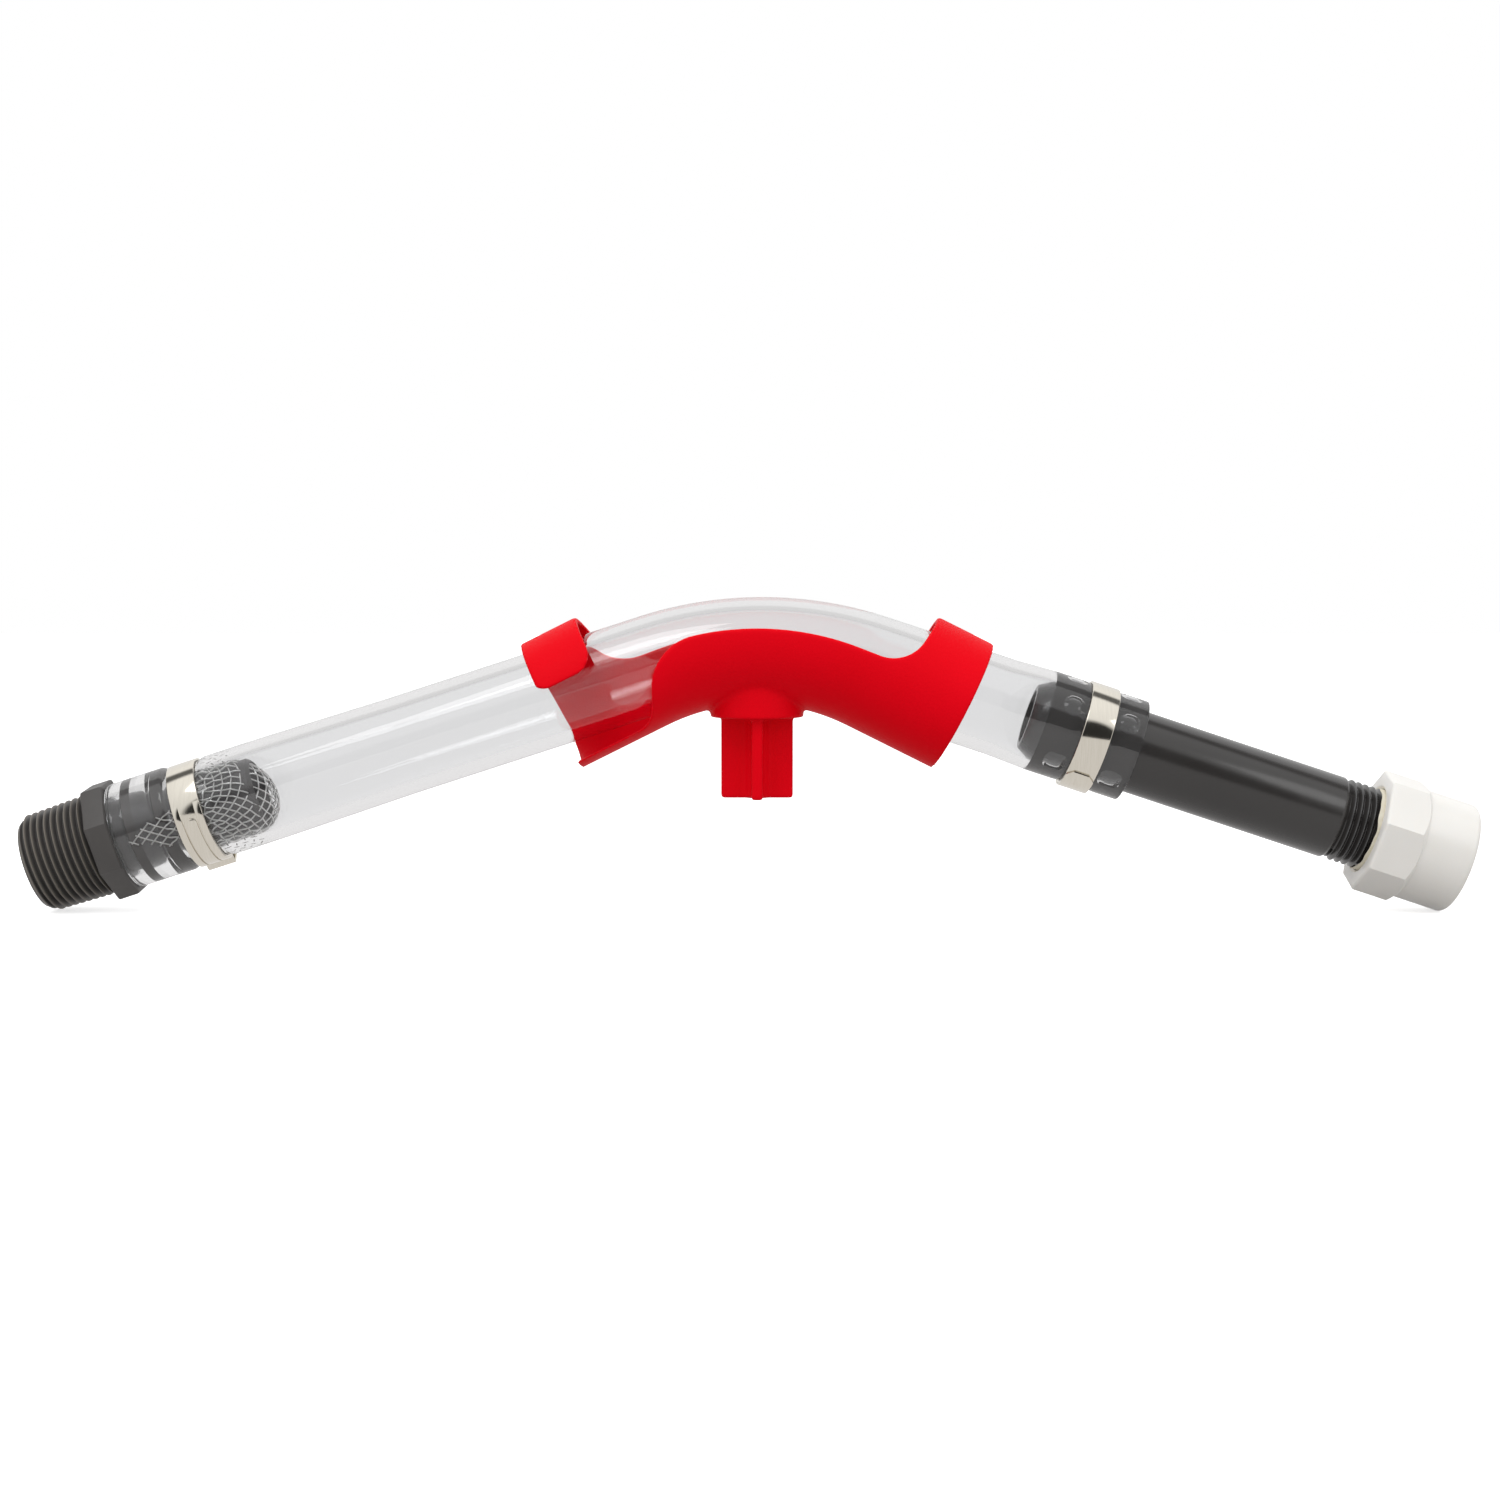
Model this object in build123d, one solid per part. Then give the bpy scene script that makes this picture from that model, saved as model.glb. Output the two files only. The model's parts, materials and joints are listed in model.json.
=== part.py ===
from build123d import *
import os
from math import asin, cos, degrees, radians, sin, sqrt, tan

# Gravel vacuum siphon: a clear hose bent over a red saddle, with a threaded
# intake fitting clamped in one end and a pipe nipple with a white adapter
# clamped in the other.  Millimetres, +Z up, the front of the saddle faces -Y.
# The arch stands on its two ends.  The origin is the middle of its footprint.
#
# Distances called "reach" run outward along an arm's centre line from the
# apex, the point where the centre lines of the two arms would cross.

# --- hose -------------------------------------------------------------------
HOSE_OD = 25.4            # 1 in outside
HOSE_ID = 19.05           # 3/4 in bore
HOSE_BEND_RADIUS = 90.0   # centre line, over the saddle
INTAKE_SLOPE = 18.0       # degrees below level
OUTLET_SLOPE = 18.34      # degrees; both ends stand on the ground at this slope
APEX_OFFSET = 1.6         # apex to the right of the post's axis
INTAKE_THINNING = 0.1     # lost from the outer radius where the hose is stretched over the barb
OUTLET_THINNING = 0.4     # the same over the nipple
BULGE_TAPER = 36.0        # length over which the bulge at the strainer dies away
STRETCH_TAPER = 6.0       # the same at the nipple's end
SQUEEZE_TAPER = 2.0       # beside a clamp

# --- intake: male insert adapter, 3/4 in pipe thread x barb -------------------
THREAD_PITCH = 1.814      # 14 threads to the inch
THREAD_DEPTH = 1.45
THREAD_TAPER = 1 / 32     # on the radius
INTAKE_FACE = 172.0       # reach of the octagon's inner face
INTAKE_OCTAGON_FLATS = 29.0
INTAKE_OCTAGON_ROLL = 18.0   # degrees from the top to its first corner
INTAKE_OCTAGON_LENGTH = 5.9
INTAKE_THREAD_OD = 26.67  # at the octagon
INTAKE_THREAD_CRESTS = 9
INTAKE_LEAD_IN = 1.9      # plain start of the thread, past its last crest
INTAKE_LEAD_DROP = 0.3    # lost from the root's radius there
INTAKE_BORE = 15.9
BARB_ROOT_OD = 18.6
BARB_CREST_OD = 21.2
BARB_LEAD_CREST_OD = 19.8   # the low ridge under the clamp
BARB_LENGTH = 37.1
BARB_PITCH = 7.94
BARB_FIRST_CREST = 3.6    # from the octagon's inner face
BARB_STEP = 0.6           # length of a ridge's steep side
NOSE_CHAMFER = 1.0

# --- strainer screen ----------------------------------------------------------
CLOTH_THICKNESS = 0.3
DOME_GAP = 2.6            # barb's end to the top of the dome
DOME_SHOULDER = 2.6       # how far the dome rounds in from its side
SKIRT_OVERHANG = 1.2      # skirt showing past the clamp
FLAP_LENGTH = 12.8        # corner of the cloth left lying along the barb
FLAP_WIDTH = 8.0
FLAP_DROP = 3.0           # the corner lies this far below the centre line

# --- clamps -------------------------------------------------------------------
BAND_WIDTH = 7.4
BAND_THICKNESS = 0.7
INTAKE_CLAMP_SETBACK = 20.1  # middle of the band, from the octagon
OUTLET_CLAMP_SETBACK = 11.7  # middle of the band, from the hose's end
INTAKE_SQUEEZE = 0.55     # taken off the hose's outer radius by the clamp
OUTLET_SQUEEZE = 0.15
EAR_WIDTH = 6.4
EAR_HEIGHT = 4.2
EAR_ROUND = 1.4
LAP_ARC = 113.0           # degrees that the outer end of the strip laps round
LAP_THICKNESS = 0.5
INTAKE_EAR_ROLL = 155.0   # degrees from the top of the hose towards the back
OUTLET_EAR_ROLL = 115.0

# --- outlet: schedule 80 nipple, 1/2 in -----------------------------------------
NIPPLE_OD = 21.34
NIPPLE_BORE = 13.87
NIPPLE_INNER_END = 70.8   # reach of the bevelled end
NIPPLE_BEVEL = 3.9        # length of the bevel
NIPPLE_BEVEL_OD = 17.0    # at the very end
OUTLET_HOSE_END = 99.3    # reach of the hose's end on the nipple
ADAPTER_FACE = 163.3      # reach of the adapter's threaded face
THREAD_TURNS = 6          # turns of thread inside the adapter
THREAD_SHOWING = 4        # crests outside it

# --- outlet: white adapter, 1/2 in female thread x socket -----------------------
ADAPTER_LENGTH = 24.8
ADAPTER_OCTAGON_LENGTH = 9.65
ADAPTER_OCTAGON_ROLL = 11.5
ADAPTER_WALL = 3.6        # round the socket
ADAPTER_OCTAGON_WALL = 4.15   # the same, to the octagon's flats
ADAPTER_THREAD_DEPTH = 11.6
ADAPTER_WEB = 1.2         # inner ring between thread and socket
SOCKET_GAP = 0.08         # round a pipe of the nipple's size
ADAPTER_END_ROUND = 1.5

# --- thread seal tape -------------------------------------------------------------
TAPE_THICKNESS = 0.15
TAPE_SHOWING = 1.2        # tape outside the adapter

# --- saddle ---------------------------------------------------------------------
SADDLE_WALL = 1.8
SADDLE_SLOPE = 26.5       # degrees each side
SADDLE_BEND_RADIUS = 68.6
SADDLE_ARM = 58.6         # along the arm's axis, from where the two axes cross
WALL_RISE = 2.1           # wall's top edge above the trough's axis
EDGE_ARC = 21.5           # degrees from mid-length to where that edge runs straight
HOOK_START = 40.3         # along the arm, where the hook's edge leaves the wall
HOOK_SWEEP = 9.7          # concave radius from the wall's edge into the hook
TAB_START = 43.0          # along the arm, where that edge crosses the top and the tab begins
TAB_RISE = 4.5            # tab's lower edge above the arm's axis
TAB_CORNER = 5.0          # its lower corner nearer the middle
TAB_END_CORNER = 4.4      # its lower corner at the arm's end, if the tab is long enough
WALL_END = 26.4           # the wall's far end, from the post's axis
WALL_END_ROUND = 13.5
WALL_FOOT_ROUND = 7.0
STRIP_DROP = 15.4         # top of the low strip, below the arm's axis
BOSS_OD = 23.8
BOSS_DEPTH = 3.3          # below the trough
POST_WIDTH = 18.4
POST_LENGTH = 20.7
POST_RIB = 2.8
POST_HUB_OD = 6.8
HOSE_REST_GAP = 0.05      # hose to the bottom of the trough
HOSE_HOOK_GAP = 0.1       # hose to the inside of the hooks' ends

FIT_GAP = 0.05            # between pieces pressed or wound together
THREAD_GAP = 0.13         # tape to the adapter's plain thread bore
OVERLAP = 1.0             # by which solids joined or cut run past one another

APEX = Vector(APEX_OFFSET, 0, 0)


def slope_of(side):
    """Slope of the intake arm (side -1) or the outlet arm (side +1)."""
    return INTAKE_SLOPE if side < 0 else OUTLET_SLOPE


def outward(side):
    """Unit vector down an arm."""
    angle = radians(slope_of(side))
    return Vector(side * cos(angle), 0, -sin(angle))


def across(side, reach=0.0):
    """Plane square to an arm, facing outward; its Y axis points up or down in the XZ plane."""
    return Plane(origin=APEX + outward(side) * reach, x_dir=(0, 1, 0), z_dir=outward(side))


def rolled(side, roll):
    """Turn about an arm that carries a feature drawn on the plane's X axis, the back, to this roll."""
    return Rot(0, 0, -side * (roll - 90))


def turned(side, outline):
    """Solid turned about an arm: outline holds (reach, radius) points."""
    wire = Polyline(*[(radius, 0, reach) for reach, radius in outline], close=True)
    return across(side) * revolve(make_face(wire), Axis.Z)


def ring(side, start, end, inner, outer):
    """Plain ring about an arm."""
    return turned(side, [(start, inner), (end, inner), (end, outer), (start, outer)])


def thread_ridges(first, count, radius, taper):
    """Outline of thread crests one pitch apart; taper is the fall of the radius per mm."""
    points = []
    for index in range(count):
        crest = first + index * THREAD_PITCH
        top = radius - index * THREAD_PITCH * taper
        points.append((crest - THREAD_PITCH / 2, top - THREAD_DEPTH))
        points.append((crest, top))
    points.append((crest + THREAD_PITCH / 2, top - THREAD_DEPTH))
    return points


def stretched(inner, thinning):
    """Outer radius of the hose where its bore is stretched to this radius.

    Its section keeps its area, apart from a little thinning.
    """
    return sqrt(inner ** 2 + (HOSE_OD ** 2 - HOSE_ID ** 2) / 4) - thinning


def saddle_drop():
    """How far the saddle's bent axis lies below the crossing of its two arms' axes."""
    return SADDLE_BEND_RADIUS * (1 / cos(radians(SADDLE_SLOPE)) - 1)


def hose_drop():
    """The same for the hose's centre line, below the apex."""
    return HOSE_BEND_RADIUS * (1 / cos(radians((INTAKE_SLOPE + OUTLET_SLOPE) / 2)) - 1)


def rest_gap():
    """Height of the hose over the trough where the post's axis crosses them.

    The hose is bent less sharply than the trough and off to one side, so it touches a little
    beside the middle, lower than it lies there.
    """
    return HOSE_REST_GAP + APEX_OFFSET ** 2 / (2 * (HOSE_BEND_RADIUS - SADDLE_BEND_RADIUS))


def saddle_room():
    """Room over the hose in the saddle's bore.

    The hose rests on the trough at mid-length and comes up to the inside of the hooks at
    the arms' ends.  The saddle's axis rises with the room, so the hose's height above that
    axis at an arm's end falls as the room grows: the two are solved together.
    """
    slope = radians(SADDLE_SLOPE)
    rooms = []
    for side in (-1, 1):
        hose = radians(slope_of(side))
        lean = cos(slope) + sin(slope) * tan(hose)
        level = SADDLE_ARM * cos(slope) - side * APEX_OFFSET
        height = SADDLE_ARM * sin(slope) + hose_drop() - saddle_drop() - level * tan(hose)
        spare = HOSE_OD / 2 * (1 / cos(slope - hose) - 1) + HOSE_HOOK_GAP
        rooms.append((height / lean + spare + rest_gap() / lean) / (1 + 1 / lean))
    return max(rooms)


# --- places and sizes that several pieces share ---------------------------------------
BARB_NOSE = INTAKE_FACE - BARB_LENGTH
INTAKE_HOSE_END = INTAKE_FACE - FIT_GAP
INTAKE_CLAMP_REACH = INTAKE_FACE - INTAKE_CLAMP_SETBACK
OUTLET_CLAMP_REACH = OUTLET_HOSE_END - OUTLET_CLAMP_SETBACK
INTAKE_OCTAGON_END = INTAKE_FACE + INTAKE_OCTAGON_LENGTH
INTAKE_THREAD_END = INTAKE_OCTAGON_END + INTAKE_THREAD_CRESTS * THREAD_PITCH + INTAKE_LEAD_IN
NIPPLE_END = ADAPTER_FACE + THREAD_TURNS * THREAD_PITCH
NIPPLE_THREAD_START = ADAPTER_FACE - THREAD_SHOWING * THREAD_PITCH
SKIRT_INNER = BARB_LEAD_CREST_OD / 2 + FIT_GAP
SKIRT_OUTER = SKIRT_INNER + CLOTH_THICKNESS
FLAP_INNER = BARB_CREST_OD / 2 + FIT_GAP
FLAP_OUTER = FLAP_INNER + CLOTH_THICKNESS
OVER_BARB = FLAP_OUTER + FIT_GAP
OVER_SKIRT = SKIRT_OUTER + FIT_GAP
OVER_NIPPLE = NIPPLE_OD / 2 + FIT_GAP
HOSE_ON_BARB = stretched(OVER_BARB, INTAKE_THINNING)
HOSE_ON_SKIRT = stretched(OVER_SKIRT, INTAKE_THINNING)
HOSE_ON_NIPPLE = stretched(OVER_NIPPLE, OUTLET_THINNING)
INTAKE_CLAMP_RADIUS = HOSE_ON_SKIRT - INTAKE_SQUEEZE
OUTLET_CLAMP_RADIUS = HOSE_ON_NIPPLE - OUTLET_SQUEEZE
ADAPTER_THREAD_ID = NIPPLE_OD + 2 * (FIT_GAP + TAPE_THICKNESS + THREAD_GAP)
SOCKET_ID = NIPPLE_OD + 2 * SOCKET_GAP
ADAPTER_BODY_OD = SOCKET_ID + 2 * ADAPTER_WALL
ADAPTER_OCTAGON_FLATS = SOCKET_ID + 2 * ADAPTER_OCTAGON_WALL
SADDLE_BORE_RADIUS = HOSE_OD / 2 + saddle_room()
SADDLE_OD = 2 * (SADDLE_BORE_RADIUS + SADDLE_WALL)


def make_male_adapter():
    outline = [(BARB_NOSE, INTAKE_BORE / 2)]
    outline.append((BARB_NOSE, BARB_ROOT_OD / 2 - NOSE_CHAMFER))
    outline.append((BARB_NOSE + NOSE_CHAMFER, BARB_ROOT_OD / 2))
    crests = [BARB_LEAD_CREST_OD, BARB_CREST_OD, BARB_CREST_OD]
    for index, crest_od in enumerate(crests):
        crest = INTAKE_FACE - BARB_FIRST_CREST - (len(crests) - 1 - index) * BARB_PITCH
        outline.append((crest - BARB_PITCH + 2 * BARB_STEP, BARB_ROOT_OD / 2))
        outline.append((crest, crest_od / 2))
        outline.append((crest + BARB_STEP, BARB_ROOT_OD / 2))
    outline.append((INTAKE_FACE, BARB_ROOT_OD / 2))
    root = INTAKE_THREAD_OD / 2 - THREAD_DEPTH
    outline.append((INTAKE_FACE, root))
    first = INTAKE_OCTAGON_END + THREAD_PITCH
    outline += thread_ridges(first, INTAKE_THREAD_CRESTS, INTAKE_THREAD_OD / 2, THREAD_TAPER)
    end_radius = outline[-1][1] - INTAKE_LEAD_DROP
    outline.append((INTAKE_THREAD_END, end_radius))
    outline.append((INTAKE_THREAD_END, INTAKE_BORE / 2))
    octagon = RegularPolygon(INTAKE_OCTAGON_FLATS / 2, 8, major_radius=False)
    octagon -= Circle(INTAKE_BORE / 2)
    wrench = rolled(-1, INTAKE_OCTAGON_ROLL) * extrude(octagon, INTAKE_OCTAGON_LENGTH)
    return turned(-1, outline) + across(-1, INTAKE_FACE) * wrench


def make_strainer_screen():
    clamp_edge = INTAKE_CLAMP_REACH + BAND_WIDTH / 2
    skirt_end = clamp_edge + SKIRT_OVERHANG
    top = BARB_NOSE - DOME_GAP
    side_start = BARB_NOSE + NOSE_CHAMFER
    outline = [(skirt_end, SKIRT_INNER), (skirt_end, SKIRT_OUTER), (side_start, SKIRT_OUTER)]
    outline.append((top + DOME_SHOULDER / 2, SKIRT_OUTER - DOME_SHOULDER))
    outline.append((top, 0))
    outline.append((top + CLOTH_THICKNESS, 0))
    outline.append((top + DOME_SHOULDER / 2 + CLOTH_THICKNESS, SKIRT_INNER - DOME_SHOULDER))
    outline.append((side_start, SKIRT_INNER))
    cap = turned(-1, outline)
    flap_end = clamp_edge + FLAP_LENGTH
    rise = INTAKE_FACE - BARB_FIRST_CREST - BARB_PITCH
    fold = skirt_end - 2 * CLOTH_THICKNESS
    sheet = [(fold, SKIRT_INNER), (rise, FLAP_INNER), (flap_end, FLAP_INNER)]
    sheet += [(flap_end, FLAP_OUTER), (rise, FLAP_OUTER), (fold, SKIRT_OUTER)]
    cone = turned(-1, sheet)
    half = FLAP_WIDTH / 2
    triangle = Polyline((half - FLAP_DROP, clamp_edge), (-half - FLAP_DROP, clamp_edge),
                        (-FLAP_DROP, flap_end), close=True)
    cutter = Plane(origin=(0, 0, 0), x_dir=(0, 1, 0), z_dir=(-1, 0, 0)) * make_face(triangle)
    flap = cone & (across(-1) * extrude(cutter, BARB_CREST_OD))
    return cap + flap


def make_clamp(side, reach, radius, ear_roll):
    """Strip clamp: closed band, raised ear, and the strip's outer end lapped over the band."""
    outer = radius + BAND_THICKNESS
    ear_place = Pos(outer + EAR_HEIGHT / 2 - BAND_THICKNESS, 0)
    ear = ear_place * RectangleRounded(EAR_HEIGHT, EAR_WIDTH, EAR_ROUND)
    hollow = ear_place * RectangleRounded(EAR_HEIGHT - 2 * BAND_THICKNESS, EAR_WIDTH - 2 * BAND_THICKNESS,
                                          EAR_ROUND - BAND_THICKNESS)
    lap = Circle(outer + LAP_THICKNESS) - Circle(outer - FIT_GAP)
    reach_out = 2 * outer
    end = radians(LAP_ARC)
    corners = [(0, 0), (reach_out, 0), (reach_out, reach_out),
               (reach_out * cos(end), reach_out * sin(end))]
    wedge = make_face(Polyline(*corners, close=True))
    sketch = Circle(outer) - Circle(radius) + (ear - hollow) + (lap & wedge)
    if side > 0:
        sketch = mirror(sketch, Plane.XZ)
    return across(side, reach - BAND_WIDTH / 2) * (rolled(side, ear_roll) * extrude(sketch, BAND_WIDTH))


def hose_intake_end(taper_start):
    """Outline of the hose's stretched end over the strainer and barb, from its plain stretch outward."""
    taper_end = BARB_NOSE - DOME_GAP
    clamp_low = INTAKE_CLAMP_REACH - BAND_WIDTH / 2
    clamp_high = INTAKE_CLAMP_REACH + BAND_WIDTH / 2
    skirt_end = clamp_high + SKIRT_OVERHANG
    squeezed = INTAKE_CLAMP_RADIUS - FIT_GAP
    inner = [(taper_start, HOSE_ID / 2), (taper_end, OVER_SKIRT), (skirt_end, OVER_SKIRT)]
    inner += [(skirt_end + CLOTH_THICKNESS, OVER_BARB), (INTAKE_HOSE_END, OVER_BARB)]
    outer = [(INTAKE_HOSE_END, HOSE_ON_BARB), (clamp_high + SQUEEZE_TAPER, HOSE_ON_BARB)]
    outer += [(clamp_high, squeezed), (clamp_low, squeezed)]
    outer += [(clamp_low - SQUEEZE_TAPER, HOSE_ON_SKIRT), (taper_end, HOSE_ON_SKIRT)]
    return inner + outer + [(taper_start, HOSE_OD / 2)]


def hose_outlet_end(taper_start):
    """Outline of the hose's stretched end over the nipple, from its plain stretch outward."""
    clamp_low = OUTLET_CLAMP_REACH - BAND_WIDTH / 2
    clamp_high = OUTLET_CLAMP_REACH + BAND_WIDTH / 2
    squeezed = OUTLET_CLAMP_RADIUS - FIT_GAP
    full = HOSE_ON_NIPPLE
    nipple_full = NIPPLE_INNER_END + NIPPLE_BEVEL
    inner = [(taper_start, HOSE_ID / 2), (nipple_full, OVER_NIPPLE), (OUTLET_HOSE_END, OVER_NIPPLE)]
    outer = [(OUTLET_HOSE_END, full), (clamp_high + SQUEEZE_TAPER, full)]
    outer += [(clamp_high, squeezed), (clamp_low, squeezed), (clamp_low - SQUEEZE_TAPER, full)]
    return inner + outer + [(nipple_full, full), (taper_start, HOSE_OD / 2)]


def make_hose():
    intake_start = BARB_NOSE - DOME_GAP - BULGE_TAPER
    outlet_start = NIPPLE_INNER_END - STRETCH_TAPER
    start = APEX + outward(-1) * intake_start
    finish = APEX + outward(1) * outlet_start
    path = FilletPolyline(start, APEX, finish, radius=HOSE_BEND_RADIUS)
    section = Circle(HOSE_OD / 2) - Circle(HOSE_ID / 2)
    middle = sweep(Plane(origin=start, x_dir=(0, 1, 0), z_dir=-outward(-1)) * section, path=path)
    return middle + turned(-1, hose_intake_end(intake_start)) + turned(1, hose_outlet_end(outlet_start))


def make_nipple():
    bore = NIPPLE_BORE / 2
    full = NIPPLE_OD / 2
    outline = [(NIPPLE_INNER_END, bore), (NIPPLE_INNER_END, NIPPLE_BEVEL_OD / 2)]
    outline.append((NIPPLE_INNER_END + NIPPLE_BEVEL, full))
    outline.append((NIPPLE_THREAD_START - THREAD_PITCH, full))
    count = THREAD_SHOWING + THREAD_TURNS
    outline += thread_ridges(NIPPLE_THREAD_START, count, full, 0)
    outline.append((NIPPLE_END, outline[-1][1]))
    outline.append((NIPPLE_END, bore))
    return turned(1, outline)


def make_seal_tape():
    return ring(1, ADAPTER_FACE - TAPE_SHOWING, NIPPLE_END, OVER_NIPPLE, OVER_NIPPLE + TAPE_THICKNESS)


def make_female_adapter():
    end = ADAPTER_FACE + ADAPTER_LENGTH
    start = ADAPTER_FACE + OVERLAP
    blank = turned(1, [(start, 0), (end, 0), (end, ADAPTER_BODY_OD / 2), (start, ADAPTER_BODY_OD / 2)])
    octagon = RegularPolygon(ADAPTER_OCTAGON_FLATS / 2, 8, major_radius=False)
    turn = rolled(1, ADAPTER_OCTAGON_ROLL)
    blank += across(1, ADAPTER_FACE) * turn * extrude(octagon, ADAPTER_OCTAGON_LENGTH)
    far_edge = blank.edges().filter_by(GeomType.CIRCLE).sort_by(Axis.X)[-1]
    blank = fillet(far_edge, ADAPTER_END_ROUND)
    thread_end = ADAPTER_FACE + ADAPTER_THREAD_DEPTH
    web_end = thread_end + ADAPTER_WEB
    blank -= ring_plug(ADAPTER_FACE - OVERLAP, thread_end, ADAPTER_THREAD_ID / 2)
    blank -= ring_plug(thread_end - OVERLAP, web_end + OVERLAP, NIPPLE_BORE / 2)
    return blank - ring_plug(web_end, end + OVERLAP, SOCKET_ID / 2)


def ring_plug(start, end, radius):
    """Plain round plug about the outlet arm, for cutting a bore."""
    return across(1, start) * extrude(Circle(radius), end - start)


def saddle_point(along, rise):
    """Point of the right arm's side view: along the arm's axis, and square to it."""
    angle = radians(SADDLE_SLOPE)
    return (along * cos(angle) + rise * sin(angle), -along * sin(angle) + rise * cos(angle))


def mirrored(point):
    return (-point[0], point[1])


def saddle_swept(section):
    """A section carried along the saddle's bent axis, whose two straight ends would cross at the origin."""
    far = saddle_point(SADDLE_ARM, 0)
    path = FilletPolyline((-far[0], 0, far[1]), (0, 0, 0), (far[0], 0, far[1]), radius=SADDLE_BEND_RADIUS)
    angle = radians(SADDLE_SLOPE)
    square = Plane(origin=(-far[0], 0, far[1]), x_dir=(0, 1, 0), z_dir=(cos(angle), 0, sin(angle)))
    return sweep(square * section, path=path)


def saddle_wall_view():
    """Side view of the front wall, with the right hook's front and the left arm's low strip."""
    past = SADDLE_ARM + OVERLAP
    beyond = SADDLE_OD
    centre = (0, -SADDLE_BEND_RADIUS / cos(radians(SADDLE_SLOPE)))
    edge_radius = SADDLE_BEND_RADIUS + WALL_RISE
    wall_angle = degrees(asin(WALL_END / edge_radius))
    top_edge = CenterArc(centre, edge_radius, 90 - EDGE_ARC, EDGE_ARC + wall_angle)
    start = top_edge @ 0
    run = edge_run_to_hook(start)
    corner = (start.X + run * cos(radians(EDGE_ARC)), start.Y - run * sin(radians(EDGE_ARC)))
    hook_top = saddle_point(TAB_START, SADDLE_OD / 2)
    above_hook = saddle_point(TAB_START, beyond)
    right_low = saddle_point(past, -beyond)
    strip_end = mirrored(saddle_point(past, -STRIP_DROP))
    wall_foot = (-WALL_END, strip_height_at_wall())
    rest = Polyline(start, corner, hook_top, above_hook, saddle_point(past, beyond), right_low,
                    (0, -2 * beyond), mirrored(right_low), strip_end, wall_foot, top_edge @ 1)
    face = make_face(top_edge + rest)
    wall_top = (-WALL_END, (top_edge @ 1).Y)
    for point, radius in [(corner, HOOK_SWEEP), (wall_top, WALL_END_ROUND), (wall_foot, WALL_FOOT_ROUND)]:
        nearest = face.vertices().sort_by_distance((point[0], point[1], 0))[0]
        face = fillet(nearest, radius)
    return face


def edge_run_to_hook(start):
    """Length of the edge's straight end, from the end of its arc to the hook."""
    angle = radians(SADDLE_SLOPE)
    along = start.X * cos(angle) - start.Y * sin(angle)
    return (HOOK_START - along) / cos(angle - radians(EDGE_ARC))


def strip_height_at_wall():
    """Height of the low strip's top edge where the wall ends."""
    angle = radians(SADDLE_SLOPE)
    return -(WALL_END * sin(angle) + STRIP_DROP) / cos(angle)


def saddle_tab_view():
    """Side view of the left hook's tab, which hangs down over the front."""
    past = SADDLE_ARM + OVERLAP
    corners = [(TAB_START, TAB_RISE), (TAB_START, SADDLE_OD), (past, SADDLE_OD), (past, TAB_RISE)]
    face = make_face(Polyline(*[mirrored(saddle_point(*corner)) for corner in corners], close=True))
    end_corner = min(TAB_END_CORNER, SADDLE_ARM - TAB_START - TAB_CORNER)
    for along, radius in [(TAB_START, TAB_CORNER), (past, end_corner)]:
        lower = mirrored(saddle_point(along, TAB_RISE))
        face = fillet(face.vertices().sort_by_distance((lower[0], lower[1], 0))[0], radius)
    return face


def make_saddle():
    side_view = Plane(origin=(0, 0, 0), x_dir=(1, 0, 0), z_dir=(0, -1, 0))
    front = extrude(side_view * (saddle_wall_view() + saddle_tab_view()), SADDLE_OD)
    half = saddle_swept(Circle(SADDLE_OD / 2) - Circle(SADDLE_BORE_RADIUS)) & front
    trough = half + Rot(0, 0, 180) * half
    boss_bottom = -saddle_drop() - SADDLE_OD / 2 - BOSS_DEPTH
    boss = Pos(0, 0, boss_bottom) * extrude(Circle(BOSS_OD / 2), SADDLE_OD / 2 + BOSS_DEPTH)
    ribs = Rectangle(POST_WIDTH, POST_RIB) + Rectangle(POST_RIB, POST_WIDTH) + Circle(POST_HUB_OD / 2)
    ribs = ribs & Circle(POST_WIDTH / 2)
    post = Pos(0, 0, boss_bottom - POST_LENGTH) * extrude(ribs, POST_LENGTH + BOSS_DEPTH)
    saddle = trough + (boss - saddle_swept(Circle(SADDLE_BORE_RADIUS))) + post
    axis_above_hose = SADDLE_BORE_RADIUS - HOSE_OD / 2 - rest_gap()
    return Pos(0, 0, saddle_drop() - hose_drop() + axis_above_hose) * saddle


pieces = {
    "male_adapter": make_male_adapter(),
    "strainer_screen": make_strainer_screen(),
    "intake_clamp": make_clamp(-1, INTAKE_CLAMP_REACH, INTAKE_CLAMP_RADIUS, INTAKE_EAR_ROLL),
    "vinyl_tube": make_hose(),
    "saddle": make_saddle(),
    "outlet_clamp": make_clamp(1, OUTLET_CLAMP_REACH, OUTLET_CLAMP_RADIUS, OUTLET_EAR_ROLL),
    "pipe_nipple": make_nipple(),
    "thread_seal_tape": make_seal_tape(),
    "female_adapter": make_female_adapter(),
}

boxes = [piece.bounding_box() for piece in pieces.values()]
low_x = min(box.min.X for box in boxes)
high_x = max(box.max.X for box in boxes)
low_z = min(box.min.Z for box in boxes)
placement = Pos(-(low_x + high_x) / 2, 0, -low_z)

os.makedirs("parts", exist_ok=True)
for name, piece in pieces.items():
    export_step(placement * piece, f"parts/{name}.step")
apex = placement * Pos(APEX)
print("apex", apex.position, "post axis", placement.position)
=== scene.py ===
import json
from math import cos, pi, radians, sin, tan

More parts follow.
